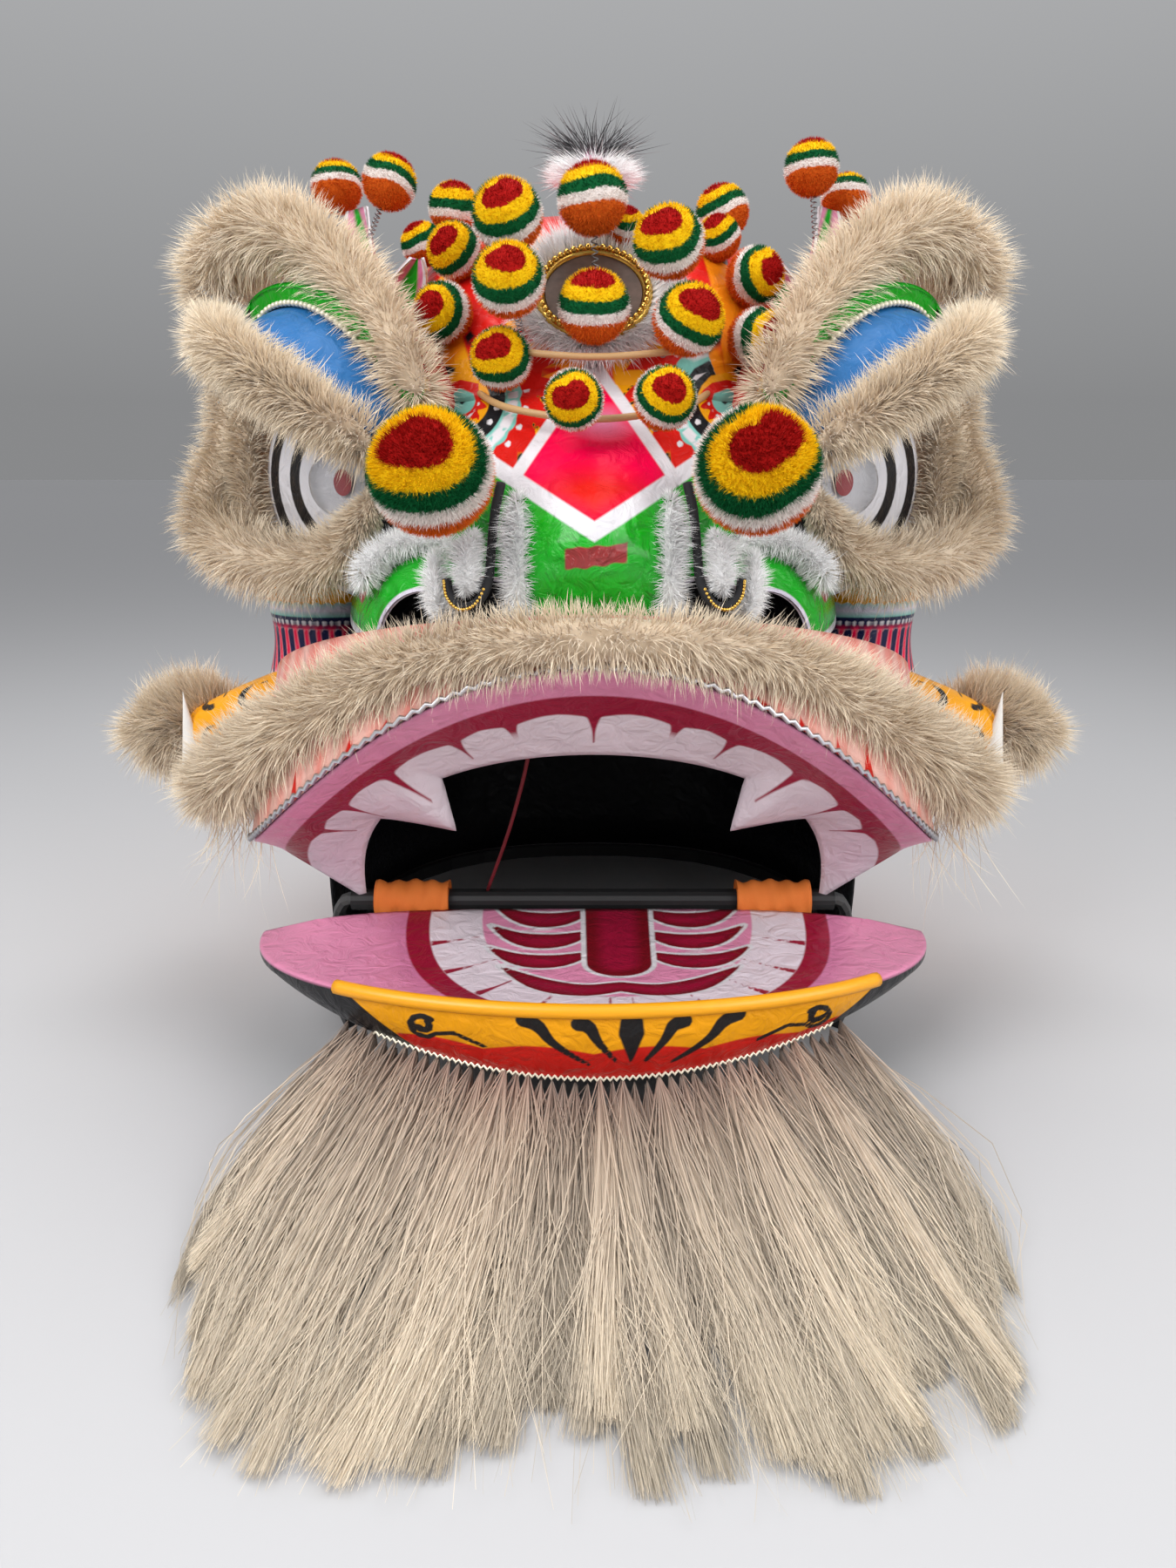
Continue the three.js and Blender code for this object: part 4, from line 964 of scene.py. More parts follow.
points, faces, on, p = sheet_arrays(jaw_point, 210, 56, 3, {"way": (0, -0.3, 1)})
x, y = p[:, 0] - 20, p[:, 1] - 15
top = on["v"] < JAW["fold"]
down = (on["v"] - JAW["fold"]) / (1 - JAW["fold"])
a = arch_angle(on["u"])
drop = down * np.linalg.norm(jaw_rim(a) - skirt_foot(a), axis=1)
tongue = stroke(x, y, [(0, 40), (0, -92)], (27, 25))
BENT = np.linspace(0, 1, 14)
# x, y, half width
FEATHER = spline([(30, -3, 6), (48, -12, 11), (66, -13, 12), (84, -5, 8), (104, 14, 0.8)], BENT)
MOUSTACHE = spline([(0, -138, 9), (28, -146, 12), (58, -134, 11), (92, -98, 0.8)], BENT)
feathers = union(*[
    stroke(np.abs(x), y, FEATHER[:, :2] + (0, low), FEATHER[:, 2]) for low in (-4, -40, -76)])
moustache = stroke(np.abs(x), y, MOUSTACHE[:, :2], MOUSTACHE[:, 2])
GAP_TURNS = np.radians((4, 24, 42, 58, 74, 90, 108))
GAP_LINE = np.array([(112, 160), (135, 188), (158, 212)], float)
gaps = union(*[
    stroke(np.abs(x), y, GAP_LINE * (math.sin(q), -math.cos(q)), (0.7, 1.4, 4.5)) for q in GAP_TURNS])
plate_layers = {"shade": oval(x, y, 186, 250), "gum": oval(x, y, 174, 232), "teeth": oval(x, y, 155, 212),
                "gap": np.minimum(gaps, oval(x, y, 155, 212)), "mouth": oval(x, y, 112, 160),
                "feather": union(feathers, moustache) + 3, "feather_in": union(feathers, moustache),
                "feather_dark": union(feathers, moustache) - 5,
                "tongue_edge": tongue + 4, "tongue_in": tongue - 11, "tongue": tongue}

# %% Paint on the skirt
scallop = 6 * np.abs(np.sin(np.degrees(a) / 9 * np.pi / 2))
middle = mix(193, 135, np.clip(drop / 52, 0, 1)) - np.abs(p[:, 0] - 15)
red_from = np.minimum(34, 12 + 26 * np.cos(a)) - scallop
# The skirt is first painted black all over; yellow and red cover only its middle, so the black left at its
# sides is painted shade under the jaw.
skirt_layers = {"skirt_shade_black": drop - 1, "skirt": np.minimum(drop, middle),
                "skirt_red": np.minimum(drop - red_from, middle),
                "spade": stroke(p[:, 0] - 26, drop, [(0, 7), (0, 16), (0, 42)], (8, 9, 1))}
COMMAS = [[(36, 8), (29, 11), (23, 23), (10, 42)], [(74, 6), (64, 11), (54, 25), (29, 45)]]
comma_widths = np.interp(np.arange(10), (0, 3, 9), (6, 5, 1.6))
for k, comma in enumerate(COMMAS):
    bent = spline(comma, np.linspace(0, 1, 10))
    skirt_layers[f"comma_{k}"] = stroke(np.abs(p[:, 0] - 26), drop, bent, comma_widths)
spiral = np.concatenate([
    [(96, 32), (118, 22)], arc_line(140, 20, 10, 150, -130, 8), arc_line(140, 18, 5, -130, -330, 6)])
skirt_layers["spiral"] = stroke(np.abs(p[:, 0] - 20), drop, spiral, np.linspace(1.8, 3.0, len(spiral)))

# %% Jaw shell
marks = {"inside_ink": on["inside"] - 0.98}
marks.update({k: np.where(top, value, -20) for k, value in plate_layers.items()})
marks.update({k: np.where(top, -20, value) for k, value in skirt_layers.items()})
# The black at the skirt's sides is painted shade.
jaw_paint = paint_material("jaw_paint", "pink", [
    ("shade", "rose", 8), ("gum", "crimson", 0.8), ("teeth", "tooth", 0.8), ("gap", "crimson", 0.8),
    ("mouth", "pink", 0.8), ("feather", "white", 0.8), ("feather_in", "dark_red", 0.8),
    ("feather_dark", "crimson", 4),
    ("tongue_edge", "white", 0.8), ("tongue", "dark_red", 0.8), ("tongue_in", "crimson", 5),
    ("skirt_shade_black", "black", 0.8), ("skirt", "yellow", 0.8),
    ("skirt_red", "red", 0.8), ("spade", "black", 0.8),
    ("comma_0", "black", 0.6), ("comma_1", "black", 0.6), ("spiral", "black", 0.5)])
add_mesh("jaw_shell", points, faces, marks, [jaw_paint], "jaw", "jaw_paint", ["jaw"])

# %% Jaw rim roll and stitches
yellow_roll = plain_material("yellow_roll", INK["yellow"], 0.35, scale=30, depth=0.15)
a = np.radians(np.linspace(-44, 51, 70))
roll = tube_arrays(jaw_rim(a) + (0, 0, 1), 5.5, 10)
add_mesh("jaw_rim_roll", *roll, {}, [yellow_roll], "jaw", "jaw_paint", ["jaw"])

STITCHES = 150
a = np.radians(np.linspace(-40, 44, STITCHES))
stitches = skirt_foot(a) + stack(0, -3, np.where(np.arange(STITCHES) % 2, 2, -1))
add_mesh("skirt_stitches", *tube_arrays(stitches, 1.3, 6), {}, [PEARL], "jaw", "jaw_paint")

# %% Cloth sleeves
BAR = {"y": 30, "z": 105}
SLEEVE = {"from": 122, "to": 184, "inner": 9.7, "outer": 16}


def sleeve_point(u, v):
    """Out along the outside, round the end and back along the inside."""
    a = 2 * np.pi * u
    t = np.clip(v * 2.2, 0, 1) - np.clip(v * 2.2 - 1.2, 0, 1)
    deep = smooth(0.46, 0.54, v)
    folds = 1.3 * np.sin(t * 26 + 2 * np.sin(a)) + 0.7 * np.sin(3 * a + t * 9)
    r = mix(SLEEVE["outer"] + folds, SLEEVE["inner"], deep)
    return stack(mix(SLEEVE["from"], SLEEVE["to"], t), BAR["y"] + r * np.cos(a), BAR["z"] + r * np.sin(a))


u, v = np.meshgrid(np.linspace(0, 1, 29), np.linspace(0, 1, 45))
sleeve_points, sleeve_faces = sleeve_point(u.ravel(), v.ravel()), grid_faces(28, 44)
orange_cloth = plain_material("orange_cloth", (0.80, 0.20, 0.03), 0.8, scale=220, depth=0.3)
add_pair("jaw_sleeve_{side}", sleeve_points, sleeve_faces, {}, [orange_cloth], "jaw", "jaw_paint", ["jaw"])

# %% [markdown]
# ## Cheeks
# A rolled cheek closes each side between eye and lip. It is painted in rows:
# yellow, teal scallops, white dots on navy, then navy flames on pink. A picture
# could be wrapped round it. Rows drawn from two measures, along and up, stay
# sharp at any size and mirror for the other side.

# %% Cheeks
def cheek_point(u, v):
    a = np.radians(mix(-125, 25, u))
    r = CHEEK["radius"] - 9 * np.sin(np.pi * v)
    return stack(CHEEK["x"] + r * np.cos(a), CHEEK["y"] + r * np.sin(a), mix(CHEEK["low"], CHEEK["high"], v))


points, faces, on, _ = sheet_arrays(cheek_point, 64, 28, 3, {"from": (CHEEK["x"], CHEEK["y"], 325)})
run, high = on["u"] * 157, on["v"] * 86
petal = 72 + 2.5 * np.abs(np.sin(run / 9 * np.pi)) - high
dots = 2.3 - np.hypot(np.mod(run, 6.5) - 3.25, high - 57)
sway = np.abs(np.mod((run + 0.006 * (52 - high) ** 2) / 12, 1) - 0.5)
stripes = np.minimum((sway - mix(0.34, 0.2, high / 52)) * 12, 52 - high)
blush = np.minimum((0.3 - sway) * 12, 20 - np.abs(high - 34))
marks = {"inside_ink": on["inside"] - 0.98, "teal_row": petal, "cell": np.minimum(petal - 2, high - 65),
         "navy_row": 62 - high, "dots": dots, "skin": 52 - high, "blush": blush, "stripe": stripes}
cheek_paint = paint_material("cheek_paint", "yellow", [
    ("teal_row", "teal", 0.6), ("cell", "lavender", 3), ("navy_row", "navy", 0.6), ("dots", "white", 0.5),
    ("skin", "white", 0.8), ("blush", "magenta", 2.5), ("stripe", "navy", 0.7)])
add_pair("cheek_shell_{side}", points, faces, marks, [cheek_paint], "head", "cheek_paint", ["cheek_{side}"])

# %% [markdown]
# ## Eyes
# Each eye is a shallow dish painted in black and white rings, with a clear dome
# over a red pupil. A blue satin lid turns on a wire across it, and a green brow
# arches over. Lid and brow could be modelled freely. They are drawn as turns
# round the wire instead, so that the lid closes along the dish without cutting
# into the brow.

# %% Eye dishes
def socket_point(u, v):
    a = 2 * np.pi * u + np.pi
    reach = np.where(np.cos(a) > 0, EYE_DISH["outer"], EYE_DISH["inner"]) * v * np.cos(a)
    return (EYE + stack(0, 0, EYE_DISH["tall"] * v * np.sin(a)) + EYE_ACROSS * reach[:, None]
            - EYE_WAY * (EYE_DISH["deep"] * v**2)[:, None])


points, faces, on, _ = sheet_arrays(socket_point, 56, 24, 3, {"way": EYE_WAY})
ring = on["v"] * 100
marks = {"inside_ink": on["inside"] - 0.98,
         "rings": union(*[band(ring, low, high) for low, high in ((24, 32), (50, 63), (80, 94))])}
stripe_paint = paint_material("stripe_paint", "white", [("rings", "black", 0.7)])
add_pair("eye_socket_shell_{side}", points, faces, marks, [stripe_paint], "head", "stripe_paint",
         ["eye_socket_{side}"])

# %% Clear domes
DOME_RADIUS = 26
dome_clear, nodes, links, shader = new_material("clear_dome")
shader.inputs["Transmission Weight"].default_value = 0.92
shader.inputs["Roughness"].default_value = 0.03
shader.inputs["IOR"].default_value = 1.2
tint = nodes.new("ShaderNodeTexNoise")
tint.inputs["Scale"].default_value = 20
cloudy = mix_colour(nodes, links, tint.outputs["Fac"], (0.9, 0.92, 0.95), (1.0, 1.0, 1.0))
links.new(cloudy, shader.inputs["Base Color"])


def dome_point(u, v):
    a, climb = 2 * np.pi * u, np.pi / 2 * (1 - v)
    flat = DOME_RADIUS * np.sin(np.maximum(climb, 0.001))
    return (EYE + EYE_WAY * 2.5 + EYE_ACROSS * (flat * np.cos(a))[:, None] + stack(0, 0, flat * np.sin(a))
            + EYE_WAY * (DOME_RADIUS * np.cos(climb))[:, None])


u, v = np.meshgrid(np.linspace(0, 1, 37), np.linspace(0, 1, 15))
dome_points, dome_faces = dome_point(u.ravel(), v.ravel()), grid_faces(36, 14)
add_pair("eyeball_dome_{side}", dome_points, dome_faces, {}, [dome_clear], "head", "clear_dome",
         ["eyeball_{side}"])

# %% Pupils
PUPIL = {"radius": 8, "sides": 32}
a = np.linspace(0, 2 * np.pi, PUPIL["sides"] + 1)[:-1]
pupil_edge = EYE_ACROSS * (PUPIL["radius"] * np.cos(a))[:, None] + stack(0, 0, PUPIL["radius"] * np.sin(a))
pupil_points = np.concatenate([[EYE + EYE_WAY * 4.4], EYE + EYE_WAY * 4.2 + pupil_edge])
pupil_faces = [[0, k + 1, (k + 1) % PUPIL["sides"] + 1] for k in range(PUPIL["sides"])]
pupil_red = plain_material("pupil_red", (0.35, 0.02, 0.03), 0.3)
add_pair("eyeball_spot_{side}", pupil_points, pupil_faces, {}, [pupil_red], "head", "clear_dome",
         ["eyeball_{side}"])

# %% Lid and brow forms
PIVOT_IN, PIVOT_OUT = np.array((122, -50, 455), float), np.array((262, 50, 545), float)
AXIS = (PIVOT_OUT - PIVOT_IN) / np.linalg.norm(PIVOT_OUT - PIVOT_IN)
FRONT = np.array((0, -1, 0)) + AXIS * AXIS[1]
FRONT = FRONT / np.linalg.norm(FRONT)
UP = np.cross(FRONT, AXIS)
LID_RADIUS, BROW_RADIUS = 70, 86


def spindle(s):
    return np.sqrt(np.sin(np.pi * np.clip(s, 0.02, 0.98)))


def round_axis(s, degrees, radius):
    a = np.radians(degrees)
    return (PIVOT_IN + (PIVOT_OUT - PIVOT_IN) * np.asarray(s)[:, None]
            + FRONT * (radius * np.cos(a))[:, None] + UP * (radius * np.sin(a))[:, None])


def lid_point(u, v):
    s = mix(0.03, 0.97, u)
    return round_axis(s, mix(-4, 72, v), LID_RADIUS * spindle(s))


def brow_turn(u, v):
    """Degrees round the lid's axis; the back of the brow is shorter at its outer end."""
    return mix(52, mix(250, 200, smooth(0.35, 0.75, u)), v)


def brow_point(u, v):
    s = mix(-0.06, 1.06, u)
    return round_axis(s, brow_turn(u, v), BROW_RADIUS * spindle((s + 0.09) / 1.18))


# %% Lids and brows
satin = paint_material("blue_satin", "satin", [], rough=0.42, crease=0.9, inside="satin")
lid_points, lid_faces, on, _ = sheet_arrays(lid_point, 36, 12, 2.4, {"from": (PIVOT_IN + PIVOT_OUT) / 2})
lid_marks = {"inside_ink": on["inside"] - 0.98}
brow_points, brow_faces, on, _ = sheet_arrays(brow_point, 40, 20, 3, {"from": (PIVOT_IN + PIVOT_OUT) / 2})
deg, run = brow_turn(on["u"], on["v"]), on["u"] * 230
zig = 66 + 5 * np.abs(np.mod(run / 11, 1) * 2 - 1)
brow_marks = {"inside_ink": on["inside"] - 0.98, "edge": (62 - deg) * 1.3, "zig": (zig - deg) * 1.3,
              "back": (deg - 120) * 1.3, "tongue": flames(on["u"], (deg - 96) * 1.2, 12, 34, 13)}
brow_paint = paint_material("green_paint", "green", [
    ("back", "orange", 2), ("tongue", "red", 1), ("zig", "gold", 0.7), ("edge", "green", 0.7)])
add_pair("lid_shell_{side}", lid_points, lid_faces, lid_marks, [satin], "lid_{side}", "blue_satin",
         ["lid_{side}"])
add_pair("brow_shell_{side}", brow_points, brow_faces, brow_marks, [brow_paint], "head", "green_paint",
         ["brow_{side}"])

# %% Brow bands and pearls
def brow_band_point(u, v):
    s = mix(0.0, 1.0, u)
    inner, outer = LID_RADIUS * spindle(s) + 3, (BROW_RADIUS - 1) * spindle((s + 0.09) / 1.18)
    return round_axis(s, 51 + 0 * s, mix(inner, outer, v))


band_points, band_faces, on, _ = sheet_arrays(brow_band_point, 50, 6, 2, {"way": FRONT - UP})
band_marks = {"inside_ink": on["inside"] - 0.98, "thread": band(on["v"], 0.05, 0.18) * 14}
band_paint = paint_material("band_paint", "green", [("thread", "gold", 0.5)], inside="green")
PEARLS = 38
s = np.linspace(0.04, 0.96, PEARLS)
pearl_line = round_axis(s, np.full(PEARLS, 48.5), LID_RADIUS * spindle(s) + 5)
pearl_points, pearl_faces = bead_arrays(pearl_line, 2.4)
add_pair("brow_band_{side}", band_points, band_faces, band_marks, [band_paint], "head", "green_paint")
add_pair("brow_pearls_{side}", pearl_points, pearl_faces, {}, [PEARL], "head", "green_paint")

# %% [markdown]
# ## Ears
# The ears are small cupped leaves behind the brows, hinged at the root, each
# with two pompoms on short springs. A flat sheet with a bend modifier would do.
# The cup is written into the formula of the sheet here, which is also the
# formula of the CAD solid, so the leaf turns on the same root.

# %% Ear leaves
def ear_point(u, v):
    s = mix(-1, 1, u)
    wide = 34 * np.sin(np.pi * mix(0.2, 0.86, v))
    cup = 20 * (s**2 - 0.4) * np.sin(np.pi * v)
    return (stack(mix(182, 190, v), mix(116, 122, v), mix(540, 662, v))
            + np.array((0.67, 0.74, 0)) * (wide * s)[:, None] + np.array((0.74, -0.67, 0)) * cup[:, None])


points, faces, on, _ = sheet_arrays(ear_point, 22, 36, 2.4, {"way": (0.3, -1, 0.1)})
s = np.abs(mix(-1, 1, on["u"]))
dots = 1.8 - np.hypot(np.mod(on["v"] * 122, 8) - 4, (s - 0.88) * 34)
marks = {"inside_ink": on["inside"] - 0.98, "heart": (0.45 - s) * 20 + 4 - 8 * on["v"],
         "trim": (s - 0.76) * 30, "dots": dots}
ear_paint = paint_material("ear_paint", "pink", [
    ("heart", "green", 3), ("trim", "white", 0.7), ("dots", "black", 0.5)], inside="rose")
add_pair("ear_leaf_{side}", points, faces, marks, [ear_paint], "ear_{side}", "green_paint", ["ear_{side}"])

# %% [markdown]
# ## Mirror and horn
# A round mirror sits on the forehead in a gilt ring and a ring of white fur.
# Behind it stands the horn: pink paper with black dots, a fur collar and a brush
# of black bristles. The glass could be a true mirror. It looks dark in the photo,
# so a dull glass painted dark brown, as a painted reflection of dark surroundings,
# was chosen, which doesn't show the studio's lights.

# %% Mirror
MIRROR = {"at": np.array((0, -24, 576), float), "glass": 34, "ring": 42, "lean": 36, "sequins": 45}
tip = math.radians(MIRROR["lean"])
MIRROR_WAY = np.array((0, -math.cos(tip), math.sin(tip)))
MIRROR_UP = np.array((0, math.sin(tip), math.cos(tip)))
MIRROR_SIDE = np.array((1.0, 0, 0))


def on_mirror(a, r, out):
    """A point at angle a and radius r on the mirror, raised by out."""
    return (MIRROR["at"] + MIRROR_SIDE * (r * np.cos(a))[:, None] + MIRROR_UP * (r * np.sin(a))[:, None]
            + MIRROR_WAY * (np.zeros_like(a) + out)[:, None])


def lathe(rows, turns):
    """A round piece on the mirror's axis from rows of radius and height."""
    rows = np.asarray(rows, float)
    u, v = np.meshgrid(np.linspace(0, 1, turns + 1), np.linspace(0, 1, len(rows)))
    a, k = 2 * np.pi * u.ravel(), np.round(v.ravel() * (len(rows) - 1)).astype(int)
    return on_mirror(a, rows[k, 0], rows[k, 1]), grid_faces(turns, len(rows) - 1)


# The dark brown is a painted reflection of dark surroundings, on a dull glass that reflects little.
glass = plain_material("mirror_glass", (0.10, 0.065, 0.05), 0.3, scale=9, depth=0.4)
glass.node_tree.nodes["Principled BSDF"].inputs["Specular IOR Level"].default_value = 0.1
pts, fcs = lathe([(0.01, 5.4), (MIRROR["glass"], 5.2), (MIRROR["glass"], 1)], 48)
add_mesh("mirror_disc", pts, fcs, {}, [glass], "head", "mirror_glass", ["mirror"], flat=True)
ring_in, ring_out = MIRROR["glass"], MIRROR["ring"]
ring_mid = (ring_in + ring_out) / 2
pts, fcs = lathe([
    (ring_in, 4), (ring_in + 1, 7), (ring_mid, 9), (ring_out - 1, 7), (ring_out, 4), (ring_out, 0)], 64)
add_mesh("mirror_ring", pts, fcs, {}, [GILT], "head", "mirror_glass", ["mirror"])

# %% Mirror sequins and ruff
a = np.linspace(0, 2 * np.pi, MIRROR["sequins"] + 1)[:-1]
sequins = bead_arrays(on_mirror(a, np.full(len(a), ring_mid), 9), 2.4)
add_mesh("mirror_sequins", *sequins, {}, [GILT], "head", "mirror_glass", ["mirror"])
RUFF = {"hairs": 5200, "length": 25, "width": 0.9}
a = rng.uniform(0, 2 * np.pi, RUFF["hairs"])
roots = on_mirror(a, rng.uniform(39, 44, len(a)), rng.uniform(0, 5, len(a)))
aims = unit(unit(roots - MIRROR["at"]) + MIRROR_WAY * rng.uniform(-0.1, 0.9, len(a))[:, None]
            + 0.2 * rng.normal(size=(len(a), 3)))
ruff = hair_arrays(roots, aims, RUFF["length"] * rng.uniform(0.7, 1.1, len(a)), RUFF["width"],
                   0.12 * rng.normal(size=(len(a), 3)), rings=2)
add_mesh("mirror_fur", *ruff, [SNOW], "head", "cream_fur")

# %% Horn
HORN = [(0, 64, 632, 27), (0, 76, 662, 22), (0, 98, 694, 9)]  # x, y, z, radius
HORN_DOTS = {"round": 14, "apart": 8, "radius": 1.9}
ROWS, TURNS = 30, 32  # steps along and round a tube that carries paint
t = np.linspace(0, 1, ROWS)
rows = spline(HORN, t)
pts, fcs = tube_arrays(rows[:, :3], rows[:, 3], TURNS)
around = np.tile(np.arange(TURNS), ROWS) / TURNS
height = np.repeat(t * 72, TURNS)
apart = HORN_DOTS["apart"]
shift = np.floor(height / apart) * 0.5
dot_x = (np.mod(around * HORN_DOTS["round"] + shift, 1) - 0.5) * apart
dots = HORN_DOTS["radius"] - np.hypot(dot_x, np.mod(height, apart) - apart / 2)
dots = np.append(dots, [-5, -5])
horn_paint = paint_material("horn_paint", "rose", [("dots", "black", 0.5)])
marks = {"dots": dots, "inside_ink": np.full(len(pts), -1.0)}
add_mesh("horn_shell", pts, fcs, marks, [horn_paint], "head", "horn_paint", ["horn"])

# %% Horn tufts
HORN_HAIR = [  # name, hairs, where on the horn, lengths, rise, material
    ("horn_fur", 3200, (0.62, 0.82), (14, 27), 0.1, SNOW),
    ("horn_bristle", 420, (0.8, 1.0), (20, 46), 0.45, BRISTLE)]
for name, hairs, (start, end), (short, long), rise, material in HORN_HAIR:
    a = rng.uniform(0, 2 * np.pi, hairs)
    here = spline(HORN, rng.uniform(start, end, hairs))
    out = unit(stack(np.cos(a), 0.8 * np.sin(a), rise + 0 * a))
    aims = unit(out + 0.3 * rng.normal(size=(hairs, 3)) * (1, 1, 0.5))
    tuft = hair_arrays(here[:, :3] + out * here[:, 3:4] * 0.9, aims, rng.uniform(short, long, hairs), 0.8,
                       0.12 * rng.normal(size=(hairs, 3)), rings=2)
    add_mesh(name, *tuft, [material], "head", "horn_paint")

# %% [markdown]
# ## Gills and tusks
# At each corner of the mouth a yellow roll with black scrolls ends in a small
# white tusk, with a puff of fur behind it. Roll and tusk could be screwed or
# spun from a profile. A tube along three points was chosen, because its thickness
# can change along its line, and the scrolls are measured round and along it.

# %% Gills
GILL = [(246, 62, 276, 26), (296, 66, 254, 27), (338, 76, 238, 22)]  # x, y, z, radius
GILL_SCROLLS = ((28, 26), (78, 34), (122, 22), (52, 66), (104, 70), (12, 62), (146, 58))  # round, along
t = np.linspace(0, 1, ROWS)
rows = spline(GILL, t)
closing = np.sqrt(np.clip((1.04 - t) / 0.16, 0.02, 1))
pts, fcs = tube_arrays(rows[:, :3], rows[:, 3] * closing, TURNS)
around = np.tile(np.arange(TURNS) / TURNS * 160, ROWS)
length = np.repeat(t * 100, TURNS)
scroll = union(*[
    stroke(around, length, arc_line(cx, cy, 11, 0, 300, 12), np.linspace(3.4, 1, 12))
    for cx, cy in GILL_SCROLLS])
marks = {"scroll": np.append(scroll, [-9, -9]), "inside_ink": np.full(len(pts), -1.0)}
gill_paint = paint_material("yellow_paint", "yellow", [("scroll", "black", 0.6)])
add_pair("gill_roll_{side}", pts, fcs, marks, [gill_paint], "head", "yellow_paint", ["gill_{side}"])

# %% Tusks
TUSK = {"x": 338, "y": 54, "z": 232, "wide": 10, "thick": 6, "tall": 62}
TUSK_SIDES, TUSK_RINGS = 12, 9
h = np.repeat(np.linspace(0, 1, TUSK_RINGS), TUSK_SIDES)
a = np.tile(np.linspace(0, 2 * np.pi, TUSK_SIDES + 1)[:-1], TUSK_RINGS)
wide = np.maximum(0.02, 1 - h)
tusk_x = TUSK["x"] + 4 * h + TUSK["wide"] * wide * np.cos(a)
tusk_y = TUSK["y"] + TUSK["thick"] * wide * np.sin(a)
tusk_points = stack(tusk_x, tusk_y, TUSK["z"] - 14 + TUSK["tall"] * h)
i, k = np.meshgrid(np.arange(TUSK_SIDES), np.arange(TUSK_RINGS - 1))
one, two = (k * TUSK_SIDES + i).ravel(), (k * TUSK_SIDES + (i + 1) % TUSK_SIDES).ravel()
tusk_faces = np.stack([one, two, two + TUSK_SIDES, one + TUSK_SIDES], axis=1)
ivory = plain_material("tusk_ivory", (0.82, 0.80, 0.76), 0.3, scale=30, depth=0.1)
add_pair("gill_tusk_{side}", tusk_points, tusk_faces, {}, [ivory], "head", "yellow_paint", ["gill_{side}"])

# %% [markdown]
# ## Fur
# Long cream fur edges the brows, the eyes, the lids, the lip and the gills. A
# hair system on each roll would need combing. Each roll follows the same line of
# points as its CAD solid instead, with a core half as thick and hairs that reach
# the outer form of the solid, so that the fur stays in its place. The fur on a
# lid turns with the lid.

# %% Lines of the fur
BROW_FUR = [(119, -72, 509, 28), (150, -44, 560, 31), (187, -12, 603, 32), (234, 31, 630, 35),
            (278, 66, 622, 38), (302, 84, 594, 34)]
RIM_FUR = [(151, -76, 440, 11), (163, -71, 425, 18), (182, -56, 402, 27), (234, -18, 390, 31),
           (290, 46, 402, 36), (312, 74, 430, 34), (296, 92, 480, 31), (294, 102, 530, 30)]
FILL_FUR = [(268, 52, 398, 20), (277, 66, 436, 23), (278, 76, 482, 23), (272, 82, 524, 20)]
LIP_FUR = [(0, -182, 357, 27), (104, -152, 341, 30), (170, -122, 311, 34), (225, -84, 273, 38),
           (270, -45, 239, 41), (302, -8, 214, 38)]
GILL_FUR = [(322, 104, 250, 40), (358, 106, 243, 55), (392, 108, 236, 40)]
s = np.linspace(0.06, 1.0, 9)
lid_edge = round_axis(s, np.zeros(len(s)), LID_RADIUS * spindle(s) + 17)
LID_FUR = np.concatenate([lid_edge, np.full((len(s), 1), 23.0)], axis=1)
EYE_MID = np.array((215, 40, 480), float)


def from_eye(p):
    return unit(p - EYE_MID + (0, -60, 0))


def towards(*way):
    """A facing that is the same all along the roll."""
    return lambda p: unit(np.zeros_like(p) + way)


# %% Fur in pairs
HAIRS = 1.0
PAIRS = [  # name, rows, hairs, reach of the tips, facing, body
    ("brow_fur", BROW_FUR, 10500, 1.14, from_eye, "head"),
    ("rim_fur", RIM_FUR, 11500, 1.1, from_eye, "head"),
    ("fill_fur", FILL_FUR, 4500, 1.2, towards(0.2, -1, 0), "head"),
    ("gill_fur", GILL_FUR, 8000, 1.14, towards(0.5, -0.85, 0.2), "head"),
    ("lid_fur", LID_FUR, 10500, 1.4, towards(*(FRONT + 0.2 * UP)), "lid_{side}"),
]
for name, rows, hairs, reach, facing, body in PAIRS:
    roll = fur_roll(rows, int(hairs * HAIRS), facing, reach=reach, seed=len(name))
    node = "rim_fur" if name == "fill_fur" else name
    add_pair(name + "_{side}_hair", *roll, [CREAM], body, "cream_fur", [node + "_{side}"])

# %% Lip fur and wisps
LIP_HAIRS, WISPS = 28000, 130


def from_lip(p):
    return unit(stack(p[:, 0] * 0.004, -1 + 0 * p[:, 0], 0.25 + 0 * p[:, 0]))


rows = [(-x, y, z, r) for x, y, z, r in LIP_FUR[:0:-1]] + LIP_FUR
lip = fur_roll(rows, int(LIP_HAIRS * HAIRS), from_lip, seed=4)
add_mesh("lip_fur_hair", *lip, [CREAM], "head", "cream_fur", ["lip_fur"])
side = np.where(np.arange(WISPS) % 2, 1, -1)
roots = stack(side * rng.uniform(255, 300, WISPS), rng.uniform(-30, 0, WISPS), rng.uniform(185, 205, WISPS))
aims = unit(stack(side * rng.uniform(-0.2, 0.7, WISPS), rng.uniform(-0.5, 0.2, WISPS), -1 + 0 * side))
wisps = hair_arrays(roots, aims, rng.uniform(35, 75, WISPS), 0.8, 0.25 * rng.normal(size=(WISPS, 3)), rings=5)
add_mesh("lip_wisps", *wisps, [CREAM], "head", "cream_fur")

# %% [markdown]
# ## White trims
# Strips of short white fur run down both sides of the nose and over the
# nostrils, with a line of black velvet and gilt sequins beside them. A silver
# braid covers the seam where the lip meets the fur. They are too small to be CAD
# solids. The fur rolls, tubes and beads from above draw them all.

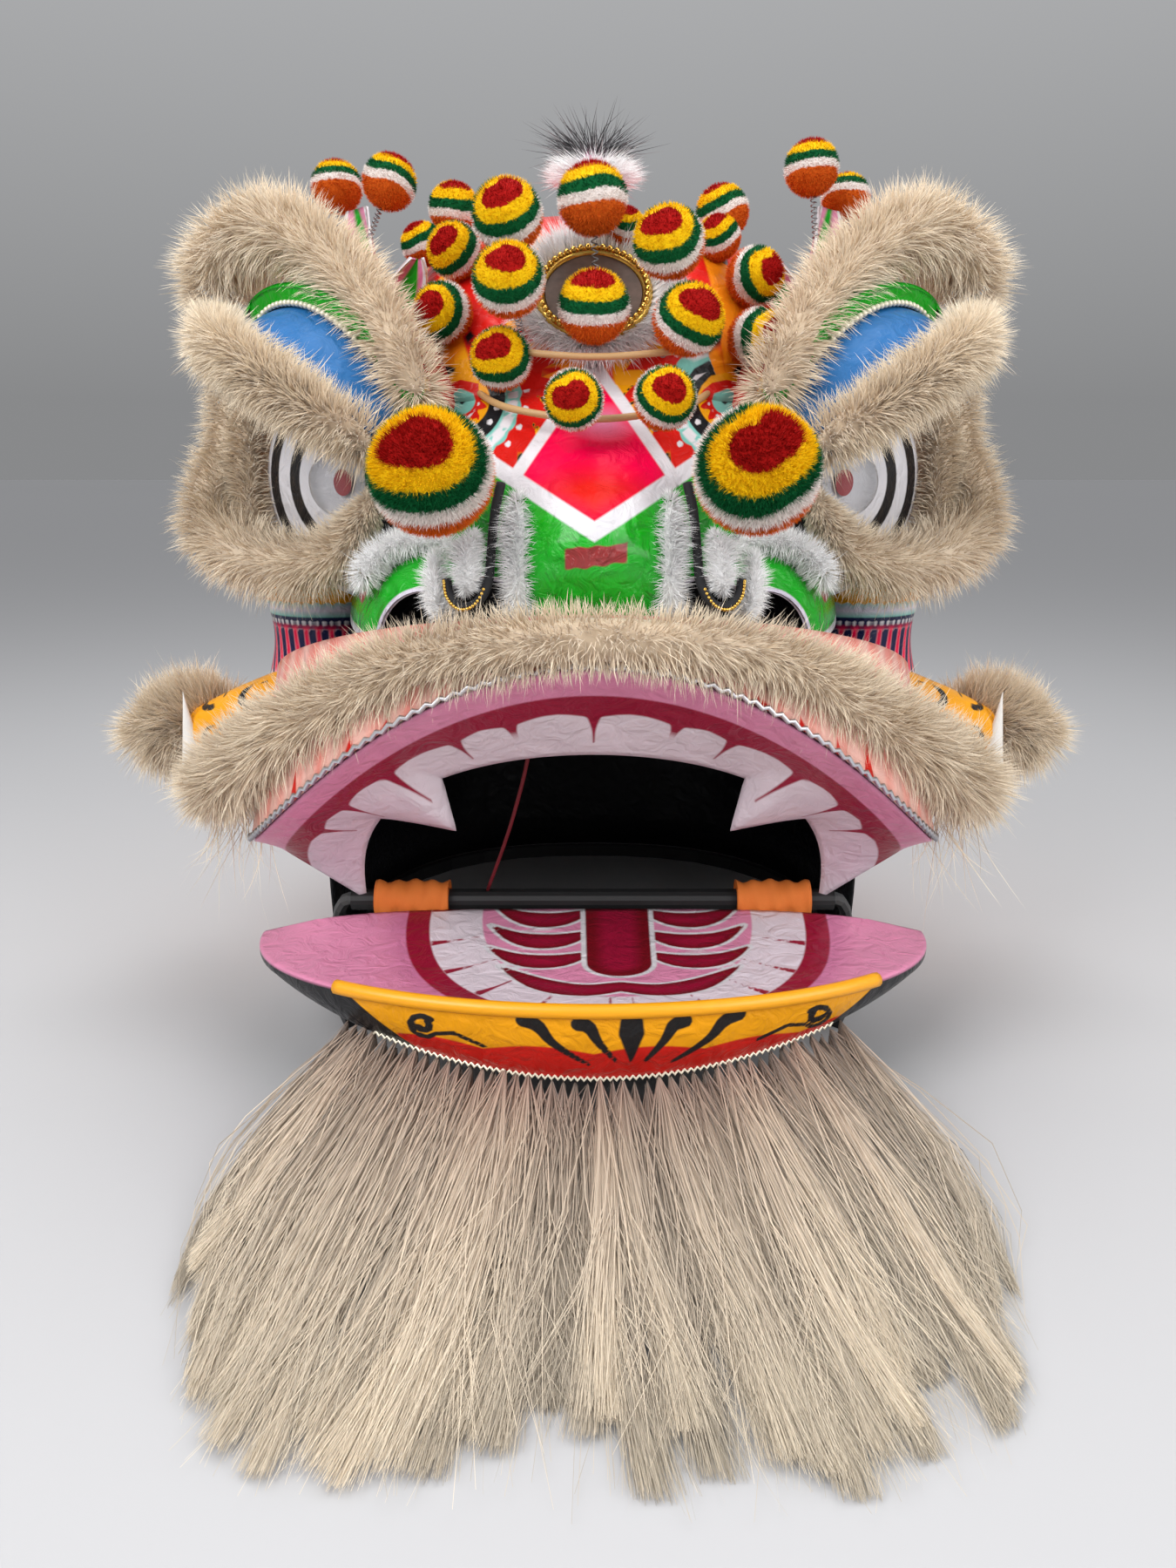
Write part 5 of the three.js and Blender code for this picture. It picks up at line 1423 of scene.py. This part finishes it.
# %% Lines of the nose trims
v = np.linspace(0.52, 0.03, 7)
reach = np.minimum(1, 48 / spline(SNOUT, v)[:, 2])
nose_side = snout_point((reach + 1) / 2, v)
HOOD_TOP = [(88, -112, 404, 8), (104, -104, 412, 10), (122, -98, 413, 11), (138, -97, 408, 12),
            (150, -98, 400, 14), (157, -100, 389, 14)]
CURL = [(78, -140, 417, 8), (82, -148, 406, 13), (81, -152, 393, 12), (83, -150, 385, 7)]
CURL_BACK = [(104, -126, 404, 8), (105, -134, 390, 11), (102, -140, 376, 11), (98, -142, 366, 9)]
SCROLL = [(60, -132, 451), (64, -138, 432), (66, -146, 410), (68, -152, 390), (75, -156, 377),
          (85, -156, 374), (93, -152, 381), (95, -148, 391)]


def with_radii(line, radii):
    return np.concatenate([line, np.array(radii, float)[:, None]], axis=1)


# %% Nose trims
WHITE_STRIPS = [  # name, rows, hairs
    ("nose_strip", with_radii(nose_side + (1, -2, 0), (10, 13, 13, 12, 12, 13, 12)), 4000),
    ("nostril_strip", HOOD_TOP, 3800),
    ("nostril_curl", CURL, 2000), ("nostril_curl_back", CURL_BACK, 2000),
]
scroll = spline(SCROLL, np.linspace(0, 1, 40))
velvet_points, velvet_faces = tube_arrays(scroll, 3.2, 8)
gilt_points, gilt_faces = bead_arrays(scroll[18:] + (1.5, -3, -1), 1.3)
for name, rows, hairs in WHITE_STRIPS:
    roll = fur_roll(rows, int(hairs * HAIRS), (0.1, -0.9, 0.4), core=0.4, width=0.6, reach=1.3, seed=9)
    add_pair(name + "_{side}", *roll, [SNOW], "head", "cream_fur")
add_pair("nose_velvet_{side}", velvet_points, velvet_faces, {}, [VELVET], "head", "nose_paint")
add_pair("nose_sequins_{side}", gilt_points, gilt_faces, {}, [GILT], "head", "nose_paint")

# %% Lip braid
BRAID_TURNS = 160
a = np.radians(np.linspace(-84, 84, BRAID_TURNS))
zig = np.where(np.arange(BRAID_TURNS) % 2, 1.5, -1.5)
braid_line = lip_point(a) + stack(2.5 * np.sin(a), -2.5 * np.cos(a), zig)
add_mesh("lip_braid", *tube_arrays(braid_line, 1.8, 6), {}, [SILVER], "head", "cheek_paint")

# %% [markdown]
# ## The beard
# Long straight hair is sewn under the edge of the skirt in tufts and spills
# forward on to the floor in a fan of locks. It could be a few thick cards of
# hair with a picture on them. Single strands were chosen, because the tips are
# seen from close by. Each strand follows the CAD solid from root to tip, leaves
# the skirt in a tuft, spreads, and draws together again in one of 52 locks.

# %% Line of a strand
BEARD = {"locks": 13, "tufts": 46, "spread": 47, "end_x": 236, "end_y": -348, "mid_y": -482,
         "thick": 26, "tip": 13}
BEARD_RINGS = 4
HALF_WIDTH = 0.37


def beard_line(u, reach, height):
    """Points at shares of the way along strands rooted at u; height is -1 to 1 within the hair's depth."""
    a = np.radians(mix(-BEARD["spread"], BEARD["spread"], u))
    lock = np.abs(np.sin(np.pi * BEARD["locks"] * u))
    fan = mix(-1, 1, u)
    end = stack(BEARD["end_x"] * np.sin(fan * 1.45), mix(BEARD["mid_y"], BEARD["end_y"], fan**4), 0 * u)
    half = mix(BEARD["thick"], BEARD["tip"], reach) * mix(0.4, 1, lock) / 2
    root = skirt_foot(a) + stack(0, 1, -half - 1)
    p = mix(root, end, reach[:, None])
    p[:, 0] += 26 * np.sin(np.pi * reach) * fan**3
    p[:, 2] = np.maximum(root[:, 2] * np.clip(1 - reach, 0, 1) ** 1.7, half + 0.4) + half * height * 0.92
    return p


# %% Locks of the beard
LOCKS = 52
lock_rng = np.random.default_rng(5)
lock_at = (np.arange(LOCKS) + 0.5 + 0.5 * lock_rng.normal(size=LOCKS)) / LOCKS
lock_length = 1 - 0.19 * lock_rng.uniform(0, 1, LOCKS) ** 1.6 - 0.06 * np.abs(mix(-1, 1, lock_at)) ** 3
lock_sway = 0.022 * lock_rng.normal(size=LOCKS)
lock_height = lock_rng.uniform(-1, 1, LOCKS)


def beard_hair(count, seed):
    """Strands that leave the skirt in tufts, spread, and draw together again in locks at their tips."""
    r = np.random.default_rng(seed)
    u0 = r.uniform(0.005, 0.995, count)
    tuft = (np.floor(u0 * BEARD["tufts"]) + 0.5) / BEARD["tufts"]
    lock = np.clip((u0 * LOCKS).astype(int), 0, LOCKS - 1)
    loose = r.uniform(0, 1, count) < 0.09
    height = np.clip(0.5 * lock_height[lock] + 0.5 * r.uniform(-1, 1, count) + 0.5 * loose, -1, 1.4)
    length = lock_length[lock] * (1 - 0.15 * r.uniform(0, 1, count) ** 2)
    length = length + 0.06 * loose * r.uniform(-1, 1, count)
    stray = r.normal(size=count) * np.where(loose, 0.045, 0.010)
    pull = np.where(loose, 0, r.uniform(0.1, 0.8, count))
    wave = r.uniform(0, 6.3, count)
    arc = np.where(loose, 12, 2) * r.normal(size=count)
    shares = np.linspace(0, 1, BEARD_RINGS + 1)
    lines = []
    for q in shares:
        near, far = 0.8 * max(0, 1 - q * 5), q**1.4
        u = mix(mix(u0, tuft, near), lock_at[lock], far * pull) + lock_sway[lock] * q**2 + stray * q**2
        p = beard_line(np.clip(u, 0, 1), np.minimum(length * q, 1.03), height)
        swing = 2.5 * np.sin(wave + q * 9) + 7 * np.sin(lock * 1.7 + q * 5)
        p[:, 0] += swing * q + arc * np.sin(np.pi * q)
        p[:, 2] = np.maximum(p[:, 2] + 2 * np.sin(wave * 2 + q * 7) * q, 0.4)
        lines.append(p)
    line = np.stack(lines, axis=1)
    along = unit(np.gradient(line, axis=1))
    side = unit(np.cross(along, r.normal(size=(count, 1, 3)) * 0.5 + (0, 0, 1)))
    half = (HALF_WIDTH * (1 - 0.75 * shares**2))[None, :, None] * side
    points = np.stack([line - half, line + half], axis=2).reshape(-1, 3)
    points[:, 2] = np.maximum(points[:, 2], 0.3)
    per = (BEARD_RINGS + 1) * 2
    k = np.arange(BEARD_RINGS) * 2
    faces = np.stack([k, k + 1, k + 3, k + 2], axis=1)
    faces = (faces[None] + (np.arange(count) * per)[:, None, None]).reshape(-1, 4)
    # Locks that lie higher are painted lighter, as painted light on the top of the fan; along paints the
    # strands darker towards their roots, as painted shade.
    tint = np.clip(0.5 + 0.4 * lock_height[lock] + 0.2 * r.normal(size=count), 0, 1)
    along = np.repeat(0.1 + 0.9 * shares**0.5, 2)
    return points, faces, {"along": np.tile(along, count), "tint": np.repeat(tint, per)}


# %% Beard hair
STRANDS = int(12500 * HAIRS)
for k in (1, 2):
    strands = beard_hair(STRANDS, 40 + k)
    beard = add_mesh(f"beard_hair_{k}", *strands, [IVORY], None, "beard_hair", ["beard"])
    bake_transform(beard)
print("beard strands:", 2 * STRANDS)

# %% [markdown]
# ## Pompoms
# Two big pompoms stand on the nose, and the rest tremble on springs over the
# forehead and on the ears. Each is wool wound in rings of red, yellow, green,
# white and orange. The rings are centred on a pole, on the side away from the
# spring. A striped picture on a ball would look flat. A ball with short wool
# hairs was chosen, and ball and hairs both take their colour from their turn
# from the pole.

# %% Pompom wool
BANDS = [(0, "red"), (0.2, "yellow"), (0.33, "green"), (0.45, "white"), (0.55, "orange")]
WOOL_INK = {"red": (0.40, 0.004, 0.003), "yellow": (0.95, 0.60, 0.003), "green": (0.002, 0.11, 0.03),
            "white": (0.94, 0.86, 0.82), "orange": (0.72, 0.13, 0.01)}
BLUR = 0.008  # half of the soft edge between two rings of wool
WOOL, nodes, links, shader = new_material("pompom_wool")
ramp = nodes.new("ShaderNodeValToRGB")
ramp.color_ramp.interpolation = "LINEAR"
stops = []
for k, (start, ink) in enumerate(BANDS):
    if k:
        stops.append((start - BLUR, BANDS[k - 1][1]))
    stops.append((start + BLUR, ink))
while len(ramp.color_ramp.elements) < len(stops):
    ramp.color_ramp.elements.new(0.5)
for stop, (place, ink) in zip(ramp.color_ramp.elements, stops):
    stop.position = place
    stop.color = (*WOOL_INK[ink], 1)
pile = nodes.new("ShaderNodeTexNoise")
pile.inputs["Scale"].default_value = 420
pile.inputs["Detail"].default_value = 3
place = nodes.new("ShaderNodeTexCoord")
links.new(place.outputs["Object"], pile.inputs["Vector"])
frayed = nodes.new("ShaderNodeMath")
links.new(read_mark(nodes, "turn"), frayed.inputs[0])
links.new(stretch(nodes, links, pile.outputs["Fac"], -0.03, 0.03), frayed.inputs[1])
links.new(frayed.outputs["Value"], ramp.inputs["Fac"])
nap = nodes.new("ShaderNodeBump")
nap.inputs["Strength"].default_value = 0.6
nap.inputs["Distance"].default_value = 0.002
links.new(pile.outputs["Fac"], nap.inputs["Height"])
links.new(nap.outputs["Normal"], shader.inputs["Normal"])
# The wool is painted darker towards its roots and on the core ball: painted shade in the depth of the pile.
depth = stretch(nodes, links, read_mark(nodes, "along"), 0.7, 1.1)
links.new(shaded(nodes, links, ramp.outputs["Color"], depth, 1), shader.inputs["Base Color"])
shader.inputs["Roughness"].default_value = 0.9
shader.inputs["Specular IOR Level"].default_value = 0.15
WIRE = plain_material("spring_wire", (0.35, 0.36, 0.38), 0.35, 1.0)
print("rings of wool:", len(BANDS))

# %% Where the pompoms are
POMPOMS = [  # name, centre, radius, pole
    ("nose_left", (-100, -171, 458), 40, (-0.2, -0.82, 0.5)),
    ("nose_right", (99, -174, 459), 40, (0.05, -0.8, 0.55)),
    ("ear_left_outer", (-211, 150, 684), 22, (0, 0.31, 0.95)),
    ("ear_left_inner", (-159, 95, 676), 22, (0.41, -0.05, 0.91)),
    ("ear_right_inner", (170, 95, 686), 22, (-0.12, -0.04, 0.99)),
    ("ear_right_outer", (209, 150, 675), 21, (-0.05, 0.38, 0.93)),
    ("01", (-107, 72, 653), 20, (0.1, -0.4, 0.9)), ("02", (-130, 58, 625), 17, (-0.5, -0.2, 0.8)),
    ("03", (-58, -58, 623), 25, (-0.15, -0.8, 0.55)), ("04", (-101, 13, 613), 21, (-0.45, -0.8, 0.3)),
    ("05", (-56, -87, 579), 25, (-0.1, -0.85, 0.5)), ("06", (-107, -22, 567), 22, (-0.55, -0.8, 0.15)),
    ("07", (-63, -68, 532), 22, (-0.2, -0.9, 0.35)), ("08", (-13, -130, 502), 20, (-0.15, -0.95, 0.15)),
    ("09", (45, -130, 503), 21, (0.1, -0.9, 0.4)), ("10", (0, -75, 564), 25, (0, -0.55, 0.83)),
    ("11", (-1, -34, 638), 25, (-0.05, -0.1, 0.99)), ("12", (22, 3, 626), 16, (0.2, -0.3, 0.9)),
    ("13", (50, -62, 606), 25, (-0.3, -0.8, 0.45)), ("14", (99, 70, 650), 21, (-0.3, -0.1, 0.95)),
    ("15", (92, 26, 624), 17, (-0.3, -0.5, 0.8)), ("16", (117, 3, 594), 22, (0.6, -0.7, 0.25)),
    ("17", (63, -77, 556), 25, (0.35, -0.8, 0.45)), ("18", (115, -34, 548), 22, (0.55, -0.8, 0.15))]


# %% Balls and springs
def ball_arrays(steps):
    u, v = np.meshgrid(np.linspace(0, 2 * np.pi, 2 * steps + 1), np.linspace(0.01, np.pi - 0.01, steps + 1))
    u, v = u.ravel(), v.ravel()
    faces = quads_to_tris(grid_faces(2 * steps, steps))[:, ::-1]
    return np.stack([np.sin(v) * np.cos(u), np.sin(v) * np.sin(u), np.cos(v)], axis=-1), faces


def spring_arrays(top, foot, radius):
    """A coil of wire from the ball down to what carries it."""
    t = np.linspace(0, 1, 70)
    along = (foot - top) / np.linalg.norm(foot - top)
    first = unit(np.cross(along, (0.3, 0.5, 0.8)))
    second = np.cross(along, first)
    a = 2 * np.pi * 9 * t
    line = mix(top, foot, t[:, None]) + (first * np.cos(a)[:, None] + second * np.sin(a)[:, None]) * radius
    return tube_arrays(line, 0.55, 4)


# %% Pompom pieces
BIG = 30  # a pompom with a larger radius than this gets more hairs
WOOL_SHARE = 1


def pompom(name, centre, r, pole):
    """The ball, its pile of wool and its spring as one piece; the wool keeps its turn from the pole."""
    centre, pole = np.array(centre, float), unit(np.array(pole, float))
    ball, core_faces = ball_arrays(24 if r > BIG else 16)
    hairs = int((21000 if r > BIG else 5800) * WOOL_SHARE)
    way = unit(rng.normal(size=(hairs, 3)))
    core = centre + ball * r * 0.9
    aims = unit(way + 0.22 * rng.normal(size=(hairs, 3)))
    lengths = r * 0.15 * rng.uniform(0.75, 1.15, hairs)
    bows = 0.05 * rng.normal(size=(hairs, 3))
    fuzz, fuzz_faces, marks = hair_arrays(
        centre + way * r * 0.86, aims, lengths, 0.5 + r * 0.009, bows, rings=1)
    own = np.concatenate([ball, np.repeat(way, 3, axis=0)])
    seed = int(centre[0]) + 300
    first = unit(np.cross(pole, (0.9, 0.2 + 0.01 * seed % 0.7, 0.4)))
    round_pole = np.arctan2(own @ np.cross(pole, first), own @ first)
    notch = 0.085 * np.maximum(0, np.cos(round_pole)) ** 6 - 0.03 * np.cos(2 * round_pole + seed)
    turn = (np.arccos(np.clip(own @ pole, -1, 1)) / np.pi + notch
            + 0.022 * ripple(own * r, r * 0.5, seed)[:, 0])
    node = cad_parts[f"pompom_{name}"]
    cad = np.array([v.co for v in node.data.vertices]) / MM
    foot = centre + pole * ((cad - centre) @ pole).min()
    coil, coil_faces = spring_arrays(centre - pole * r * 0.8, foot, 2.2)
    points = np.concatenate([core, fuzz, coil])
    faces = np.concatenate([core_faces, fuzz_faces + len(core), coil_faces + len(core) + len(fuzz)])
    # The core ball gets a low along, so it takes the painted shade of the pile's depth.
    all_marks = {"turn": np.concatenate([turn, np.zeros(len(coil))]),
                 "along": np.concatenate([np.full(len(core), 0.3), marks["along"], np.ones(len(coil))])}
    picks = np.concatenate([np.zeros(len(core_faces) + len(fuzz_faces)), np.ones(len(coil_faces))])
    body = f"ear_{name.split('_')[1]}" if name.startswith("ear") else "head"
    add_mesh(f"pompom_{name}_wool", points, faces, all_marks, [WOOL, WIRE], body, "pompom_wool",
             [f"pompom_{name}"], picks)
    return len(faces)


print("pompom triangles:", sum(pompom(*row) for row in POMPOMS))

# %% [markdown]
# ## Size and finish
# Hair and trims may stand a little proud of the solids, so the finished size is
# printed. The counts of triangles show where a lighter piece could be made.

# %% Finish
low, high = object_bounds()
made = [o for o in bpy.context.scene.objects if o.type == "MESH" and o.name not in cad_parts]
counts = {o.name: sum(p.loop_total - 2 for p in o.data.polygons) for o in made}
print("triangles in all:", sum(counts.values()), "most in one piece:", max(counts.values()))
print("size m:", [round(b - a, 3) for a, b in zip(low, high)])
